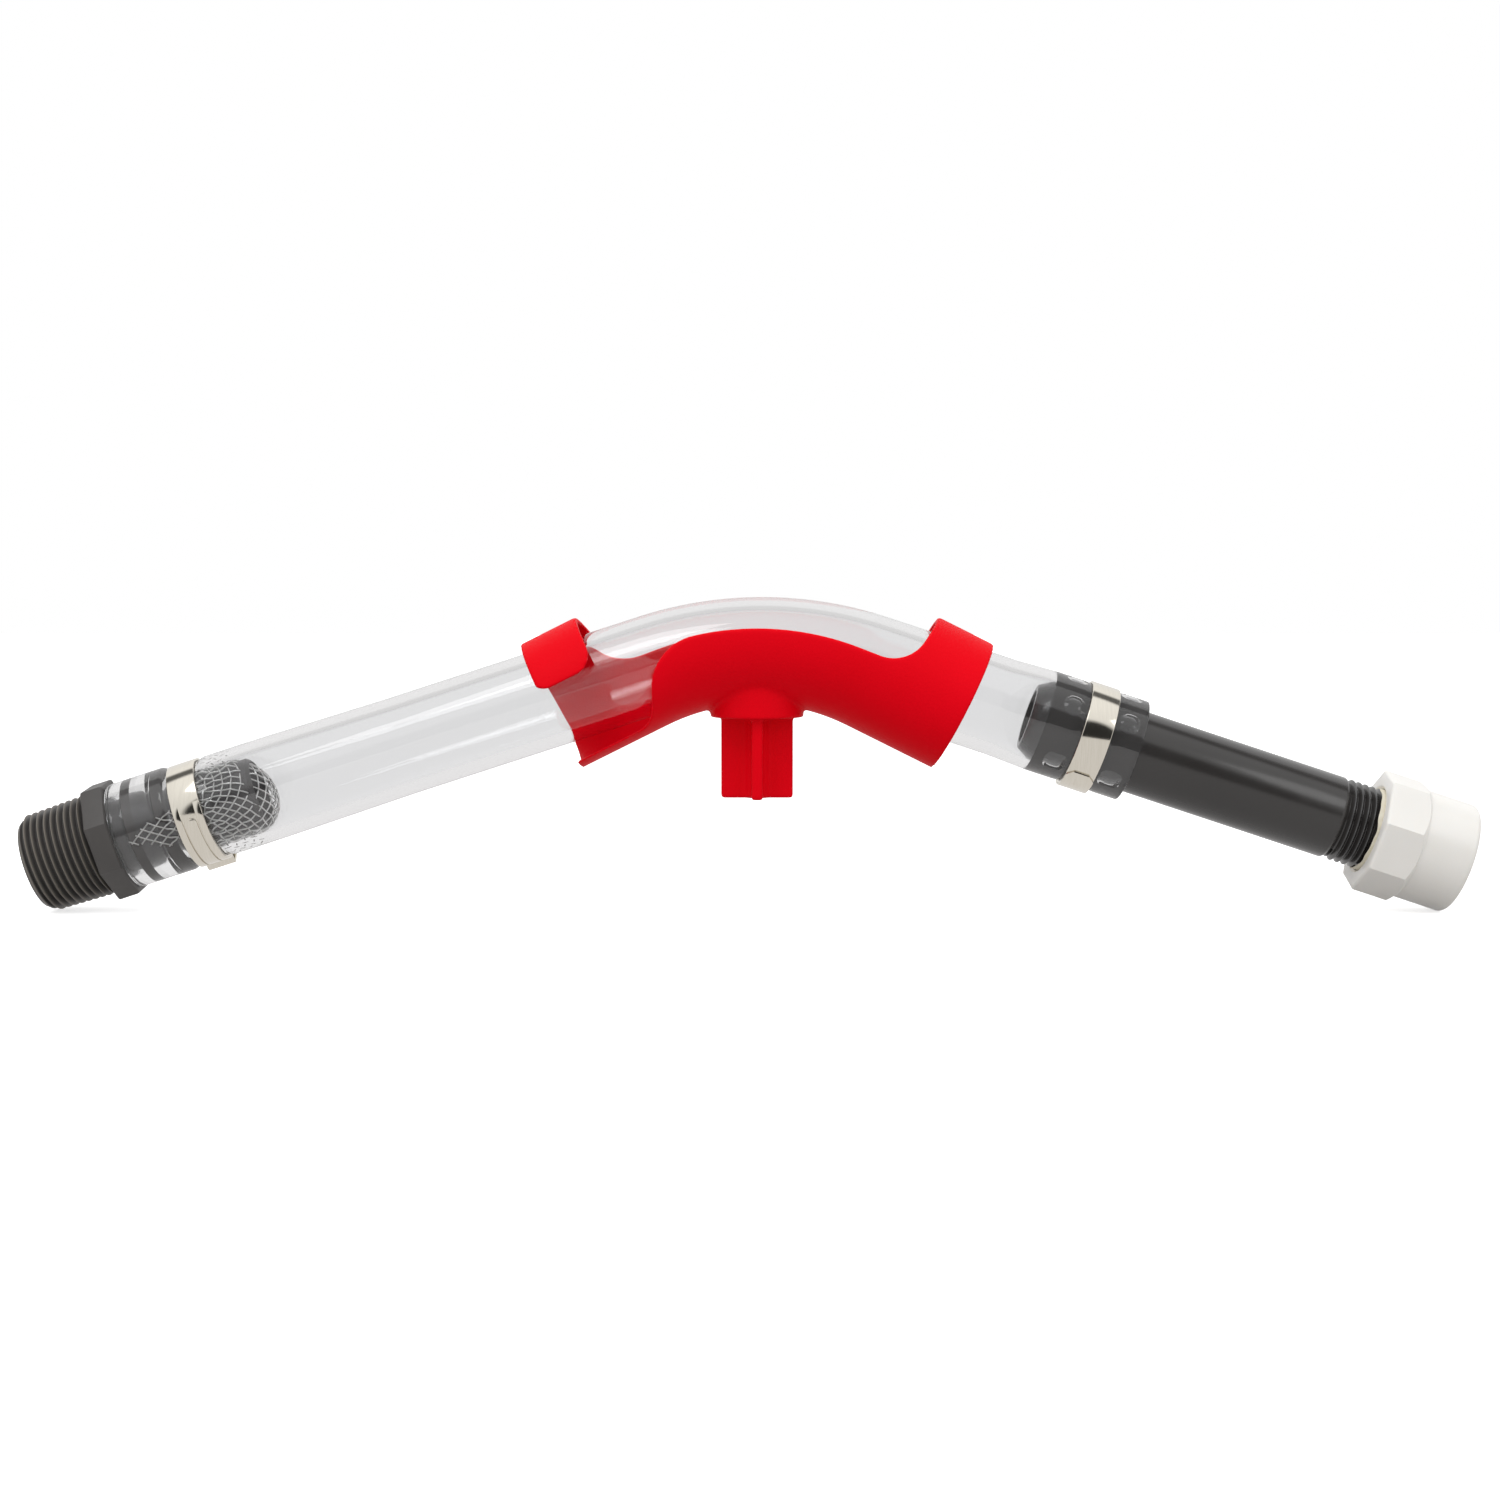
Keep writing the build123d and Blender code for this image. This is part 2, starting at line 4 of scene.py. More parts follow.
import bmesh
import bpy
import numpy as np
from bpy.props import FloatProperty, FloatVectorProperty, IntProperty, PointerProperty
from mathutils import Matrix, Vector


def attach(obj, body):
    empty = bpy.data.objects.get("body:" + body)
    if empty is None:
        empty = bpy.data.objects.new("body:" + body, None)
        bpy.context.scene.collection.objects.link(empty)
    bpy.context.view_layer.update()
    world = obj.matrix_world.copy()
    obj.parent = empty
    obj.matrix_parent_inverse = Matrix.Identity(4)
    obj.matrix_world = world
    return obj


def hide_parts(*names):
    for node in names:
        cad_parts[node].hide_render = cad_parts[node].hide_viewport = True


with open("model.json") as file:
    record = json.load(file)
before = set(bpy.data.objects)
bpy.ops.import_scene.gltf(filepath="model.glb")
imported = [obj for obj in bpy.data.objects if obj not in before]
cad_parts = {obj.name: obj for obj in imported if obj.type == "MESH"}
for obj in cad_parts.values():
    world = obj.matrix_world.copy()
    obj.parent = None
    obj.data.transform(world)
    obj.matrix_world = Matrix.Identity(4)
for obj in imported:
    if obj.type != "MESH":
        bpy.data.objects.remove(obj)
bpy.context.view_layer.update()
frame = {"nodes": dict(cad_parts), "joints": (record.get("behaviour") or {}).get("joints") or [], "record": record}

bl_info = {
    "name": "Clear hose siphon",
    "version": (1, 0, 0),
    "blender": (4, 5, 0),
    "location": "3D View > Sidebar > Siphon",
    "description": "Builds a clear hose siphon on its red saddle, with its clamps and fittings",
    "category": "Object",
}

MM = 0.001
TURN = 2 * pi
PIPE_PITCH = 1.814 * MM   # 14 threads to the inch
MERGE_WITHIN = 0.002 * MM
MOUNTS = {mount["name"]: mount for mount in frame["record"]["mounts"]}
JOINTS = {joint["name"]: joint for joint in frame["joints"]}


# --- places, from the frame ---------------------------------------------------------------------

class Arm:
    """A straight arm of the siphon, measured from the apex where the two arms' centre lines cross.

    Reach runs outward along it, radius is square to it, and roll turns from its top, at 0,
    through the back of the siphon, at a quarter turn.
    """

    def __init__(self, apex, outward):
        self.apex = np.array(apex, float)
        self.outward = np.array(outward, float) / np.linalg.norm(outward)
        self.back = np.array((0.0, 1.0, 0.0))
        up = np.cross(self.outward, self.back)
        self.up = up * np.sign(up[2])
        self.hand = -1 if self.outward[0] > 0 else 1

    def point(self, reach, radius, roll):
        """apex + reach x outward + radius x (cos roll x up + sin roll x back)."""
        reach, radius, roll = np.broadcast_arrays(reach, radius, roll)
        spoke = np.cos(roll)[..., None] * self.up + np.sin(roll)[..., None] * self.back
        return self.apex + reach[..., None] * self.outward + radius[..., None] * spoke

    def offsets(self, node):
        """A CAD node's points, measured from the apex."""
        data = frame["nodes"][node].data
        corners = np.empty(len(data.vertices) * 3, np.float32)
        data.vertices.foreach_get("co", corners)
        return corners.reshape(-1, 3) - self.apex

    def span(self, node):
        """Lowest and highest reach of a CAD node."""
        reach = self.offsets(node) @ self.outward
        return float(reach.min()), float(reach.max())

    def rim(self, node, reach):
        """Smallest and largest radius of a CAD node's points within 0.2 mm of a reach."""
        offset = self.offsets(node)
        along = offset @ self.outward
        near = np.abs(along - reach) < 0.2 * MM
        radius = np.linalg.norm(offset[near] - along[near, None] * self.outward, axis=1)
        return float(radius.min()), float(radius.max())


def crossing(first, first_axis, second, second_axis):
    """Point in the plane y = 0 where two lines in that plane cross."""
    sides = np.array([[first_axis[0], -second_axis[0]], [first_axis[2], -second_axis[2]]])
    gap = [second[0] - first[0], second[2] - first[2]]
    along = np.linalg.solve(sides, gap)[0]
    return first[0] + along * first_axis[0], 0.0, first[2] + along * first_axis[2]


THREAD_END = MOUNTS["intake_thread"]
ADAPTER_TURN = JOINTS["adapter_turn"]
APEX = crossing(THREAD_END["pos_m"], THREAD_END["axis"], ADAPTER_TURN["pos_m"], ADAPTER_TURN["axis"])
INTAKE = Arm(APEX, THREAD_END["axis"])
OUTLET = Arm(APEX, ADAPTER_TURN["axis"])
ADAPTER_FACE = float(np.linalg.norm(np.array(ADAPTER_TURN["pos_m"]) - INTAKE.apex))


# --- mesh tools -----------------------------------------------------------------------------------

def grid_faces(rows, columns):
    """Quads between neighbours of a grid of points."""
    index = np.arange(rows * columns).reshape(rows, columns)
    corners = (index[:-1, :-1], index[1:, :-1], index[1:, 1:], index[:-1, 1:])
    return np.stack(corners, -1).reshape(-1, 4)


def skin_mesh(name, skins, shades=None):
    """One mesh from grids of points, each (rows, columns, 3).

    Doubles are merged, so grids and grid edges that meet close into one skin, and each closed
    skin then has its faces turned outward.  shades holds one number per point of each grid.
    """
    points, faces, offset = [], [], 0
    for skin in skins:
        rows, columns = skin.shape[:2]
        points.append(skin.reshape(-1, 3))
        faces.append(grid_faces(rows, columns) + offset)
        offset += rows * columns
    mesh = bpy.data.meshes.new(name)
    mesh.from_pydata(np.concatenate(points), [], np.concatenate(faces))
    if shades is not None:
        layer = mesh.attributes.new("shade", "FLOAT", "POINT")
        layer.data.foreach_set("value", np.concatenate([s.ravel() for s in shades]).astype(np.float32))
    work = bmesh.new()
    work.from_mesh(mesh)
    bmesh.ops.remove_doubles(work, verts=work.verts, dist=MERGE_WITHIN)
    bmesh.ops.dissolve_degenerate(work, edges=work.edges, dist=0.0005 * MM)
    bmesh.ops.recalc_face_normals(work, faces=work.faces)
    work.to_mesh(mesh)
    work.free()
    return mesh


def place(name, mesh, material, body, nodes, sharp=35.0):
    """The mesh as an object at the origin that rides on its body and stands for its CAD nodes."""
    mesh.shade_smooth()
    mesh.set_sharp_from_angle(angle=radians(sharp))
    mesh.materials.clear()
    mesh.materials.append(material)
    piece = bpy.data.objects.new(name, mesh)
    bpy.context.scene.collection.objects.link(piece)
    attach(piece, body)
    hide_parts(*nodes)
    return piece


def rolls(columns, start=0.0):
    """Rolls of one full turn, first and last the same line."""
    return start + np.linspace(0.0, TURN, columns + 1)


def lathe(arm, outline, columns=128, start=0.0):
    """Skin turned about an arm: outline holds (reach, radius) points."""
    reach, radius = np.array(outline, float).T
    return arm.point(reach[:, None], radius[:, None], rolls(columns, start)[None, :])


def eight_sided(roll, corner, flats):
    """Radius of an octagon at a roll: half its flats / cos(turn from the nearest flat's middle)."""
    eighth = TURN / 8
    off_flat = (roll - corner) % eighth - eighth / 2
    return flats / 2 / np.cos(off_flat)


def octagon_skin(arm, outline, corner, flats, columns=128):
    """Skin about an arm whose rows are round or eight-sided.

    outline holds (reach, radius, share): the radius is share x the octagon's + radius, so a
    row with share 1 has its radius measured from the octagon.
    """
    reach, radius, share = np.array(outline, float).T
    roll = rolls(columns, corner)
    sides = eight_sided(roll, corner, flats)
    return arm.point(reach[:, None], radius[:, None] + share[:, None] * sides[None, :], roll[None, :])


def helix(arm, start, end, pitch, depth, crest_radius, limit=None, first=0.0, turn_start=0.0, inside=False):
    """Skin of a screw thread between two reaches, and how near each point is to a crest.

    Each row follows the helix: its reach grows by one pitch in a turn, cut off at the two ends.
    Down the profile the radius is the crest's less depth x (how far the row is from a crest,
    from 0 to 1), with a narrow flat at crest and root.  crest_radius and limit give the crest's
    radius and the largest radius allowed at a reach.
    """
    marks = np.array([0.0, 0.04, 0.25, 0.46, 0.54, 0.75, 0.96])
    drops = np.array([0.0, 0.0, 0.5, 1.0, 1.0, 0.5, 0.0])
    turns = int(np.ceil((end - start) / pitch)) + 3
    phase = (marks[None, :] + np.arange(-2, turns)[:, None]).ravel()
    drop = np.tile(drops, turns + 2)
    roll = rolls(128, turn_start)
    lead = np.linspace(0.0, 1.0, 129)
    if arm.hand < 0:
        lead = 1.0 - lead
    reach = start + first + (phase[:, None] + lead[None, :]) * pitch
    between = (reach > start) & (reach < end)
    reach = np.clip(reach, start, end)
    level = np.where(between, drop[:, None], 1.0)
    lean = depth * level
    radius = crest_radius(reach) + (lean if inside else -lean)
    if limit is not None:
        radius = np.minimum(radius, np.maximum(limit(reach), crest_radius(reach) - depth))
    return arm.point(reach, radius, roll[None, :]), 1.0 - level


def circle_path(radius, start, end, steps):
    """Points (up, back) of an arc square to an arm, from one roll to another."""
    roll = np.linspace(start, end, steps + 1)
    return radius * np.stack([np.cos(roll), np.sin(roll)], -1)


def ribbon(arm, path, reach, half_width, thickness, closed=False):
    """Flat strip bent along a path square to an arm, with rounded long edges.

    At each station the section is a rectangle 2 x half_width by thickness with its corners
    rounded, set on the path by its normal.  An open strip's two ends are closed by rows that
    shrink to the strip's middle line.
    """
    along = np.gradient(path, axis=0)
    if closed:
        along[0] = along[-1] = path[1] - path[-2]
    along /= np.linalg.norm(along, axis=1)[:, None]
    normal = np.stack([along[:, 1], -along[:, 0]], -1)
    edge = 0.3 * thickness
    turn = (np.repeat(np.arange(4), 4) + np.tile(np.linspace(0, 1, 4), 4)) * TURN / 4
    side = np.sign(np.cos(np.repeat(np.arange(4) + 0.5, 4) * TURN / 4))
    top = np.sign(np.sin(np.repeat(np.arange(4) + 0.5, 4) * TURN / 4))
    side, top, turn = (np.append(part, part[0]) for part in (side, top, turn))
    half_width = np.broadcast_to(half_width, len(path))
    middle = np.broadcast_to(reach, len(path))
    across = side[None, :] * np.maximum(half_width - edge, 0)[:, None] + edge * np.cos(turn)[None, :]
    across *= np.minimum(half_width / edge, 1)[:, None]
    height = top * (thickness / 2 - edge) + edge * np.sin(turn)
    flat = path[:, None, :] + height[None, :, None] * normal[:, None, :]
    skin = (arm.apex + (middle[:, None] + across)[..., None] * arm.outward
            + flat[..., :1] * arm.up + flat[..., 1:] * arm.back)
    if closed:
        return skin
    caps = [np.repeat(skin[i].mean(0)[None, :], skin.shape[1], 0)[None] for i in (0, -1)]
    return np.concatenate([caps[0], skin, caps[1]])


def smooth_steps(at, places, values, blur):
    """Values joined by straight lines between places, averaged over a window blur wide."""
    spread = np.linspace(-blur / 2, blur / 2, 9)
    weight = np.cos(np.linspace(-pi / 2, pi / 2, 11)[1:-1])
    order = np.argsort(places)
    places, values = np.array(places)[order], np.array(values)[order]
    sampled = np.interp(at[:, None] + spread[None, :], places, values)
    return (sampled * weight).sum(1) / weight.sum()


# --- material tools -------------------------------------------------------------------------------

def colour(code):
    """An sRGB hex code such as #C0FFEE as a linear colour with full alpha."""
    parts = np.array([int(code[i:i + 2], 16) for i in (1, 3, 5)]) / 255
    linear = np.where(parts <= 0.04045, parts / 12.92, ((parts + 0.055) / 1.055) ** 2.4)
    return (*linear.tolist(), 1.0)


def add(tree, kind, settings=None, links=None):
    """A node with its settings, which are properties or inputs, and its linked inputs."""
    made = tree.nodes.new("ShaderNode" + kind)
    for key, value in (settings or {}).items():
        if isinstance(key, str) and hasattr(made, key):
            setattr(made, key, value)
        else:
            made.inputs[key].default_value = value
    for key, socket in (links or {}).items():
        tree.links.new(made.inputs[key], socket)
    return made


def mix_shaders(tree, factor, first, second):
    """The first shader where the factor is 0, the second where it is 1."""
    return add(tree, "MixShader", links={0: factor, 1: first.outputs[0], 2: second.outputs[0]})


def either(tree, first, second):
    """The larger of two values."""
    return add(tree, "Math", {"operation": "MAXIMUM"}, {0: first, 1: second}).outputs[0]


def product(tree, first, second):
    """Two values multiplied."""
    return add(tree, "Math", {"operation": "MULTIPLY"}, {0: first, 1: second}).outputs[0]


def spread(tree, value, low, high, at_low=0.0, at_high=1.0):
    """A value carried in a straight line from low..high to at_low..at_high, and held beyond them."""
    limits = {"From Min": low, "From Max": high, "To Min": at_low, "To Max": at_high}
    return add(tree, "MapRange", limits, {"Value": value}).outputs[0]


def new_material(name, settings):
    """A material with one main shader, and its node tree, shader and Object coordinates."""
    material = bpy.data.materials.new(name)
    material.use_nodes = True
    tree = material.node_tree
    tree.nodes.clear()
    shader = add(tree, "BsdfPrincipled", settings)
    add(tree, "OutputMaterial", links={"Surface": shader.outputs[0]})
    place_of = add(tree, "TexCoord").outputs["Object"]
    return material, tree, shader, place_of


def replace_output(tree, shader):
    """Sends this shader, in place of the main one, to the material's output."""
    output = next(n for n in tree.nodes if n.bl_idname == "ShaderNodeOutputMaterial")
    tree.links.new(output.inputs["Surface"], shader.outputs[0])


def pale_crests(tree, shader, plain, start, most, crest_hex):
    """Mixes the crest hex code into the plain colour, up to most, from where the shade passes start.

    The shade runs from 0 off the thread to 1 on its crests.
    """
    crest = add(tree, "Attribute", {"attribute_name": "shade"}).outputs["Fac"]
    # Paler colour mixed in towards the thread crests.
    crest_mix = spread(tree, crest, start, 1.0, 0.0, most)
    mixed = add(tree, "Mix", {"data_type": "RGBA", 7: colour(crest_hex)}, {"Factor": crest_mix, 6: plain})
    tree.links.new(shader.inputs["Base Color"], mixed.outputs[2])


def grain(size):
    """Noise scale whose blotches are this many metres across."""
    return 1.0 / size


def mottle(tree, coordinates, size, low, high, detail=2.0):
    """Colour that wanders between two hex codes in blotches of this size."""
    noise = add(tree, "TexNoise", {"Scale": grain(size), "Detail": detail}, {"Vector": coordinates})
    ramp = add(tree, "Mix", {"data_type": "RGBA", 6: colour(low), 7: colour(high)},
               {"Factor": noise.outputs["Fac"]})
    return ramp.outputs[2]


def set_bump(tree, shader, coordinates, size, height, detail=3.0):
    """Fine relief: noise blotches of this size, this high from low to high."""
    noise = add(tree, "TexNoise", {"Scale": grain(size), "Detail": detail}, {"Vector": coordinates})
    bump = add(tree, "Bump", {"Distance": height, "Strength": 1.0}, {"Height": noise.outputs["Fac"]})
    tree.links.new(shader.inputs["Normal"], bump.outputs[0])


def vary_roughness(tree, shader, coordinates, size, low, high):
    """Roughness that wanders between two values in blotches of this size."""
    noise = add(tree, "TexNoise", {"Scale": grain(size), "Detail": 3.0}, {"Vector": coordinates})
    tree.links.new(shader.inputs["Roughness"], spread(tree, noise.outputs["Fac"], 0.0, 1.0, low, high))


def grey_pvc():
    """Grey PVC, injection moulded: a dull, slightly warm skin, paler on its thread crests."""
    material, tree, shader, where = new_material("Grey PVC, moulded", {"IOR": 1.53})
    plain = mottle(tree, where, 9 * MM, "#3E3C3B", "#4D4A48")
    pale_crests(tree, shader, plain, 0.55, 0.55, "#8E867B")
    vary_roughness(tree, shader, where, 2.5 * MM, 0.38, 0.55)
    set_bump(tree, shader, where, 0.35 * MM, 0.018 * MM)
    return material


def wire_cloth_steel():
    """Stainless steel wire, drawn and woven: bright, with a soft drawn lustre."""
    material, tree, shader, where = new_material(
        "Stainless steel wire, drawn", {"Metallic": 0.75, "Roughness": 0.35})
    tree.links.new(shader.inputs["Base Color"], mottle(tree, where, 4 * MM, "#C2C1BF", "#E8E7E4"))
    return material


def strip_steel(arm):
    """Stainless steel strip, cold rolled: bright, with faint rolling lines along its length.

    The lines are closer together than they could show, so they are drawn 0.25 mm apart.
    """
    material, tree, shader, where = new_material(
        "Stainless steel strip, rolled", {"Metallic": 1.0})
    slope = np.arcsin(-arm.outward[2]) * np.sign(arm.outward[0])
    turned = add(tree, "Mapping", {"vector_type": "POINT", "Rotation": (0, -slope, 0),
                                   "Scale": (1.0, 0.04, 0.04)}, {"Vector": where})
    lines = add(tree, "TexNoise", {"Scale": grain(0.25 * MM), "Detail": 2.0}, {"Vector": turned.outputs[0]})
    tone = add(tree, "Mix", {"data_type": "RGBA", 6: colour("#D3CDC1"), 7: colour("#E2DDD2")},
               {"Factor": lines.outputs["Fac"]})
    tree.links.new(shader.inputs["Base Color"], tone.outputs[2])
    tree.links.new(shader.inputs["Roughness"], spread(tree, lines.outputs["Fac"], 0.0, 1.0, 0.07, 0.15))
    bump = add(tree, "Bump", {"Distance": 0.0015 * MM}, {"Height": lines.outputs["Fac"]})
    tree.links.new(shader.inputs["Normal"], bump.outputs[0])
    return material


def clear_vinyl():
    """Clear flexible PVC, extruded: glassy, faintly streaked, and it lets light into its bore."""
    material, tree, shader, where = new_material(
        "Clear vinyl, extruded",
        {"Base Color": colour("#FAFBFC"), "Transmission Weight": 1.0, "IOR": 1.53, "Roughness": 0.02})
    path = add(tree, "LightPath").outputs
    straight = either(tree, path["Is Shadow Ray"], path["Is Diffuse Ray"])
    open_air = add(tree, "BsdfTransparent", {"Color": colour("#F2F3F5")})
    replace_output(tree, mix_shaders(tree, straight, shader, open_air))
    return material


def red_moulding():
    """Red polypropylene, injection moulded in a spark-eroded tool: an even fine matt grain."""
    material, tree, shader, where = new_material(
        "Red polypropylene, moulded",
        {"IOR": 1.49, "Specular IOR Level": 0.05})
    tree.links.new(shader.inputs["Base Color"], mottle(tree, where, 16 * MM, "#E40012", "#EE0018"))
    vary_roughness(tree, shader, where, 5 * MM, 0.42, 0.52)
    set_bump(tree, shader, where, 0.6 * MM, 0.07 * MM)
    return material


def nipple_pvc():
    """Dark grey PVC pipe, extruded: a glossy skin with faint draw lines, paler on its thread crests."""
    material, tree, shader, where = new_material("Dark PVC pipe, extruded", {"IOR": 1.54})
    plain = mottle(tree, where, 22 * MM, "#2C2A29", "#353332")
    # Paler grey mixed in towards the thread crests.
    pale_crests(tree, shader, plain, 0.7, 0.3, "#77787A")
    vary_roughness(tree, shader, where, 6 * MM, 0.16, 0.26)
    set_bump(tree, shader, where, 5 * MM, 0.02 * MM)
    return material


def seal_tape():
    """PTFE tape, unsintered: soft, chalky white, in thin overlapping turns."""
    material, tree, shader, where = new_material("PTFE seal tape", {"IOR": 1.38, "Roughness": 0.6})
    tree.links.new(shader.inputs["Base Color"], mottle(tree, where, 1.5 * MM, "#E2D9BF", "#F4F0E4"))
    set_bump(tree, shader, where, 0.7 * MM, 0.06 * MM)
    return material


def white_pvc():
    """White PVC, injection moulded: smooth, a little warm, softly glossy."""
    material, tree, shader, where = new_material(
        "White PVC, moulded",
        {"IOR": 1.53, "Subsurface Weight": 0.2, "Subsurface Radius": (1.0, 0.9, 0.8),
         "Subsurface Scale": 0.6 * MM})
    tree.links.new(shader.inputs["Base Color"], mottle(tree, where, 12 * MM, "#EBE9E4", "#F1EFEB"))
    vary_roughness(tree, shader, where, 4 * MM, 0.28, 0.4)
    set_bump(tree, shader, where, 0.6 * MM, 0.012 * MM)
    return material


# --- sizes and colours ----------------------------------------------------------------------------

def size(name, description, default):
    """A length in metres that the user may change."""
    return FloatProperty(name=name, description=description, default=default, min=0.0,
                         unit="LENGTH", precision=5)


def turn(name, description, default):
    """An angle that the user may change."""
    return FloatProperty(name=name, description=description, default=radians(default), unit="ROTATION")


class IntakeFitting(bpy.types.PropertyGroup):
    pitch: size("Thread pitch", "Distance from crest to crest", PIPE_PITCH)
    depth: size("Thread depth", "Crest to root", 1.45 * MM)
    thread_od: size("Thread diameter", "Over the crests, at the octagon", 26.67 * MM)
    thread_taper: FloatProperty(name="Thread taper", description="Fall of the radius per length",
                                default=1 / 32)
    lead_in: size("Lead-in", "Length of the bevel at the thread's start", 1.9 * MM)
    flats: size("Octagon flats", "Across the wrench flats", 29.0 * MM)
    octagon_length: size("Octagon length", "Along the fitting", 5.9 * MM)
    corner: turn("Octagon corner", "Roll of one corner, from the top", 18.0)
    bore: size("Bore", "Diameter right through", 15.9 * MM)
    barb_root: size("Barb root", "Diameter between the barbs", 18.6 * MM)
    barb_crest: size("Barb crest", "Diameter over the barbs", 21.2 * MM)
    barb_pitch: size("Barb pitch", "From one barb to the next", 7.94 * MM)


class StrainerScreen(bpy.types.PropertyGroup):
    wire: size("Wire", "Diameter of one wire", 0.4 * MM)
    mesh_pitch: size("Mesh pitch", "From one wire to the next", 2.25 * MM)
    half_side: size("Half side", "Half the side of the piece of cloth over the barb's end", 26.0 * MM)
    corner_roll: turn("Corner roll", "Where the loose corner lies, from the top", -98.0)
    corner_half: size("Corner half width", "Half the width of the loose corner at the clamp", 4.1 * MM)
    corner_cross: turn("Corner crossing", "Angle of the loose corner's wires to the hose", 32.0)


class Clamps(bpy.types.PropertyGroup):
    thickness: size("Strip thickness", "Of the clamps' strip", 0.7 * MM)
    slot: size("Slot", "Gap beside the intake clamp's tongue", 0.32 * MM)


class Hose(bpy.types.PropertyGroup):
    bend_radius: size("Bend radius", "Of the centre line over the saddle", 90.0 * MM)
    outside: size("Outside", "Diameter where nothing stretches it", 25.4 * MM)
    bore: size("Bore", "Diameter where nothing stretches it", 19.05 * MM)
    columns: IntProperty(name="Columns", description="Points round the hose", default=88)


class Saddle(bpy.types.PropertyGroup):
    voxel: size("Voxel", "Mesh spacing used to round the moulding's edges", 0.42 * MM)
    rounding: IntProperty(name="Rounding", description="Smoothing passes over the edges", default=6)


class Outlet(bpy.types.PropertyGroup):
    nipple_od: size("Nipple", "Outside diameter", 21.34 * MM)
    nipple_bore: size("Nipple bore", "Inside diameter", 13.87 * MM)
    showing: IntProperty(name="Threads showing", description="Crests outside the adapter", default=4)
    socket: size("Socket", "Diameter of the adapter's plain end", 21.5 * MM)
    body: size("Adapter body", "Outside diameter of its round end", 28.7 * MM)
    flats: size("Adapter flats", "Across its octagon", 29.8 * MM)
    octagon_length: size("Octagon length", "Along the adapter", 9.65 * MM)
    corner: turn("Octagon corner", "Roll of one corner, from the top", 11.5)
    thread_id: size("Adapter thread", "Diameter at its crests", 22.0 * MM)


class Stage(bpy.types.PropertyGroup):
    distance: size("Camera distance", "From the middle of the siphon", 640 * MM)
    elevation: turn("Camera elevation", "Above level", 4.0)
    lens: FloatProperty(name="Lens", description="Focal length in mm", default=60.0)
    aim: FloatVectorProperty(name="Aim", description="Point that the camera looks at",
                             default=(0.25 * MM, 0.0, 41.3 * MM), unit="LENGTH")


GROUPS = {"siphon_intake": IntakeFitting, "siphon_screen": StrainerScreen, "siphon_clamps": Clamps,
          "siphon_hose": Hose, "siphon_saddle": Saddle, "siphon_outlet": Outlet, "siphon_stage": Stage}


# --- pieces ---------------------------------------------------------------------------------------

HOSE_INTAKE_END = INTAKE.span("vinyl_tube")[1]
HOSE_OUTLET_END = OUTLET.span("vinyl_tube")[1]
INTAKE_CLAMP = INTAKE.span("intake_clamp")
OUTLET_CLAMP = OUTLET.span("outlet_clamp")
INTAKE_FACE = HOSE_INTAKE_END + 0.05 * MM
BARB_NOSE, THREAD_TIP = INTAKE.span("male_adapter")


def barb_crests(sizes):
    """Reaches of the three barbs, from the nose outward, and their radii."""
    last = INTAKE_FACE - 3.6 * MM
    reaches = [last - 2 * sizes.barb_pitch, last - sizes.barb_pitch, last]
    return reaches, [sizes.barb_crest / 2 - 0.7 * MM, sizes.barb_crest / 2, sizes.barb_crest / 2]


def fitting_skins(sizes):
    """Threaded end, octagon, barbs and bore as skins that share their end rows."""
    bore, root = sizes.bore / 2, sizes.barb_root / 2
    octagon_end = INTAKE_FACE + sizes.octagon_length
    edge = 0.45 * MM

    def crest(reach):
        return sizes.thread_od / 2 - (reach - octagon_end) * sizes.thread_taper

    def bevel(reach):
        return crest(THREAD_TIP) - sizes.depth + (THREAD_TIP - reach) * sizes.depth / sizes.lead_in

    thread, crest_share = helix(INTAKE, octagon_end, THREAD_TIP, sizes.pitch, sizes.depth, crest, bevel,
                                turn_start=sizes.corner)
    end_rows = [(THREAD_TIP, crest(THREAD_TIP) - sizes.depth), (THREAD_TIP, bore + edge),
                (THREAD_TIP - edge, bore), (BARB_NOSE + edge, bore), (BARB_NOSE, bore + edge / 2)]
    inner = lathe(INTAKE, end_rows, start=sizes.corner)
    octagon = octagon_skin(INTAKE, [
        (octagon_end, crest(octagon_end) - sizes.depth, 0), (octagon_end, -0.9 * MM, 1),
        (octagon_end - 0.1 * MM, -0.5 * MM, 1), (octagon_end - 0.4 * MM, -0.05 * MM, 1),
        (octagon_end - 0.7 * MM, 0, 1), (INTAKE_FACE + 0.6 * MM, 0, 1),
        (INTAKE_FACE + 0.2 * MM, -0.1 * MM, 1),
        (INTAKE_FACE, -0.4 * MM, 1), (INTAKE_FACE, root, 0)], sizes.corner, sizes.flats)
    rows = [(INTAKE_FACE, root)]
    for reach, radius in zip(*[part[::-1] for part in barb_crests(sizes)]):
        ramp = np.linspace(0, 1, 7)
        foot = reach - sizes.barb_pitch + 1.2 * MM
        rows += [(reach + 0.6 * MM, root), (reach + 0.12 * MM, radius - 0.1 * MM)]
        top = reach - 0.1 * MM
        rows += [(top - (top - foot) * t, radius - (radius - root) * t) for t in ramp]
    rows += [(BARB_NOSE + 1.0 * MM, root), (BARB_NOSE + 0.3 * MM, root - 0.55 * MM),
             (BARB_NOSE, root - 0.95 * MM), (BARB_NOSE, bore + edge / 2)]
    barbs = lathe(INTAKE, rows, start=sizes.corner)
    skins = [thread, inner, octagon, barbs]
    return skins, [crest_share] + [np.zeros(skin.shape[:2]) for skin in skins[1:]]


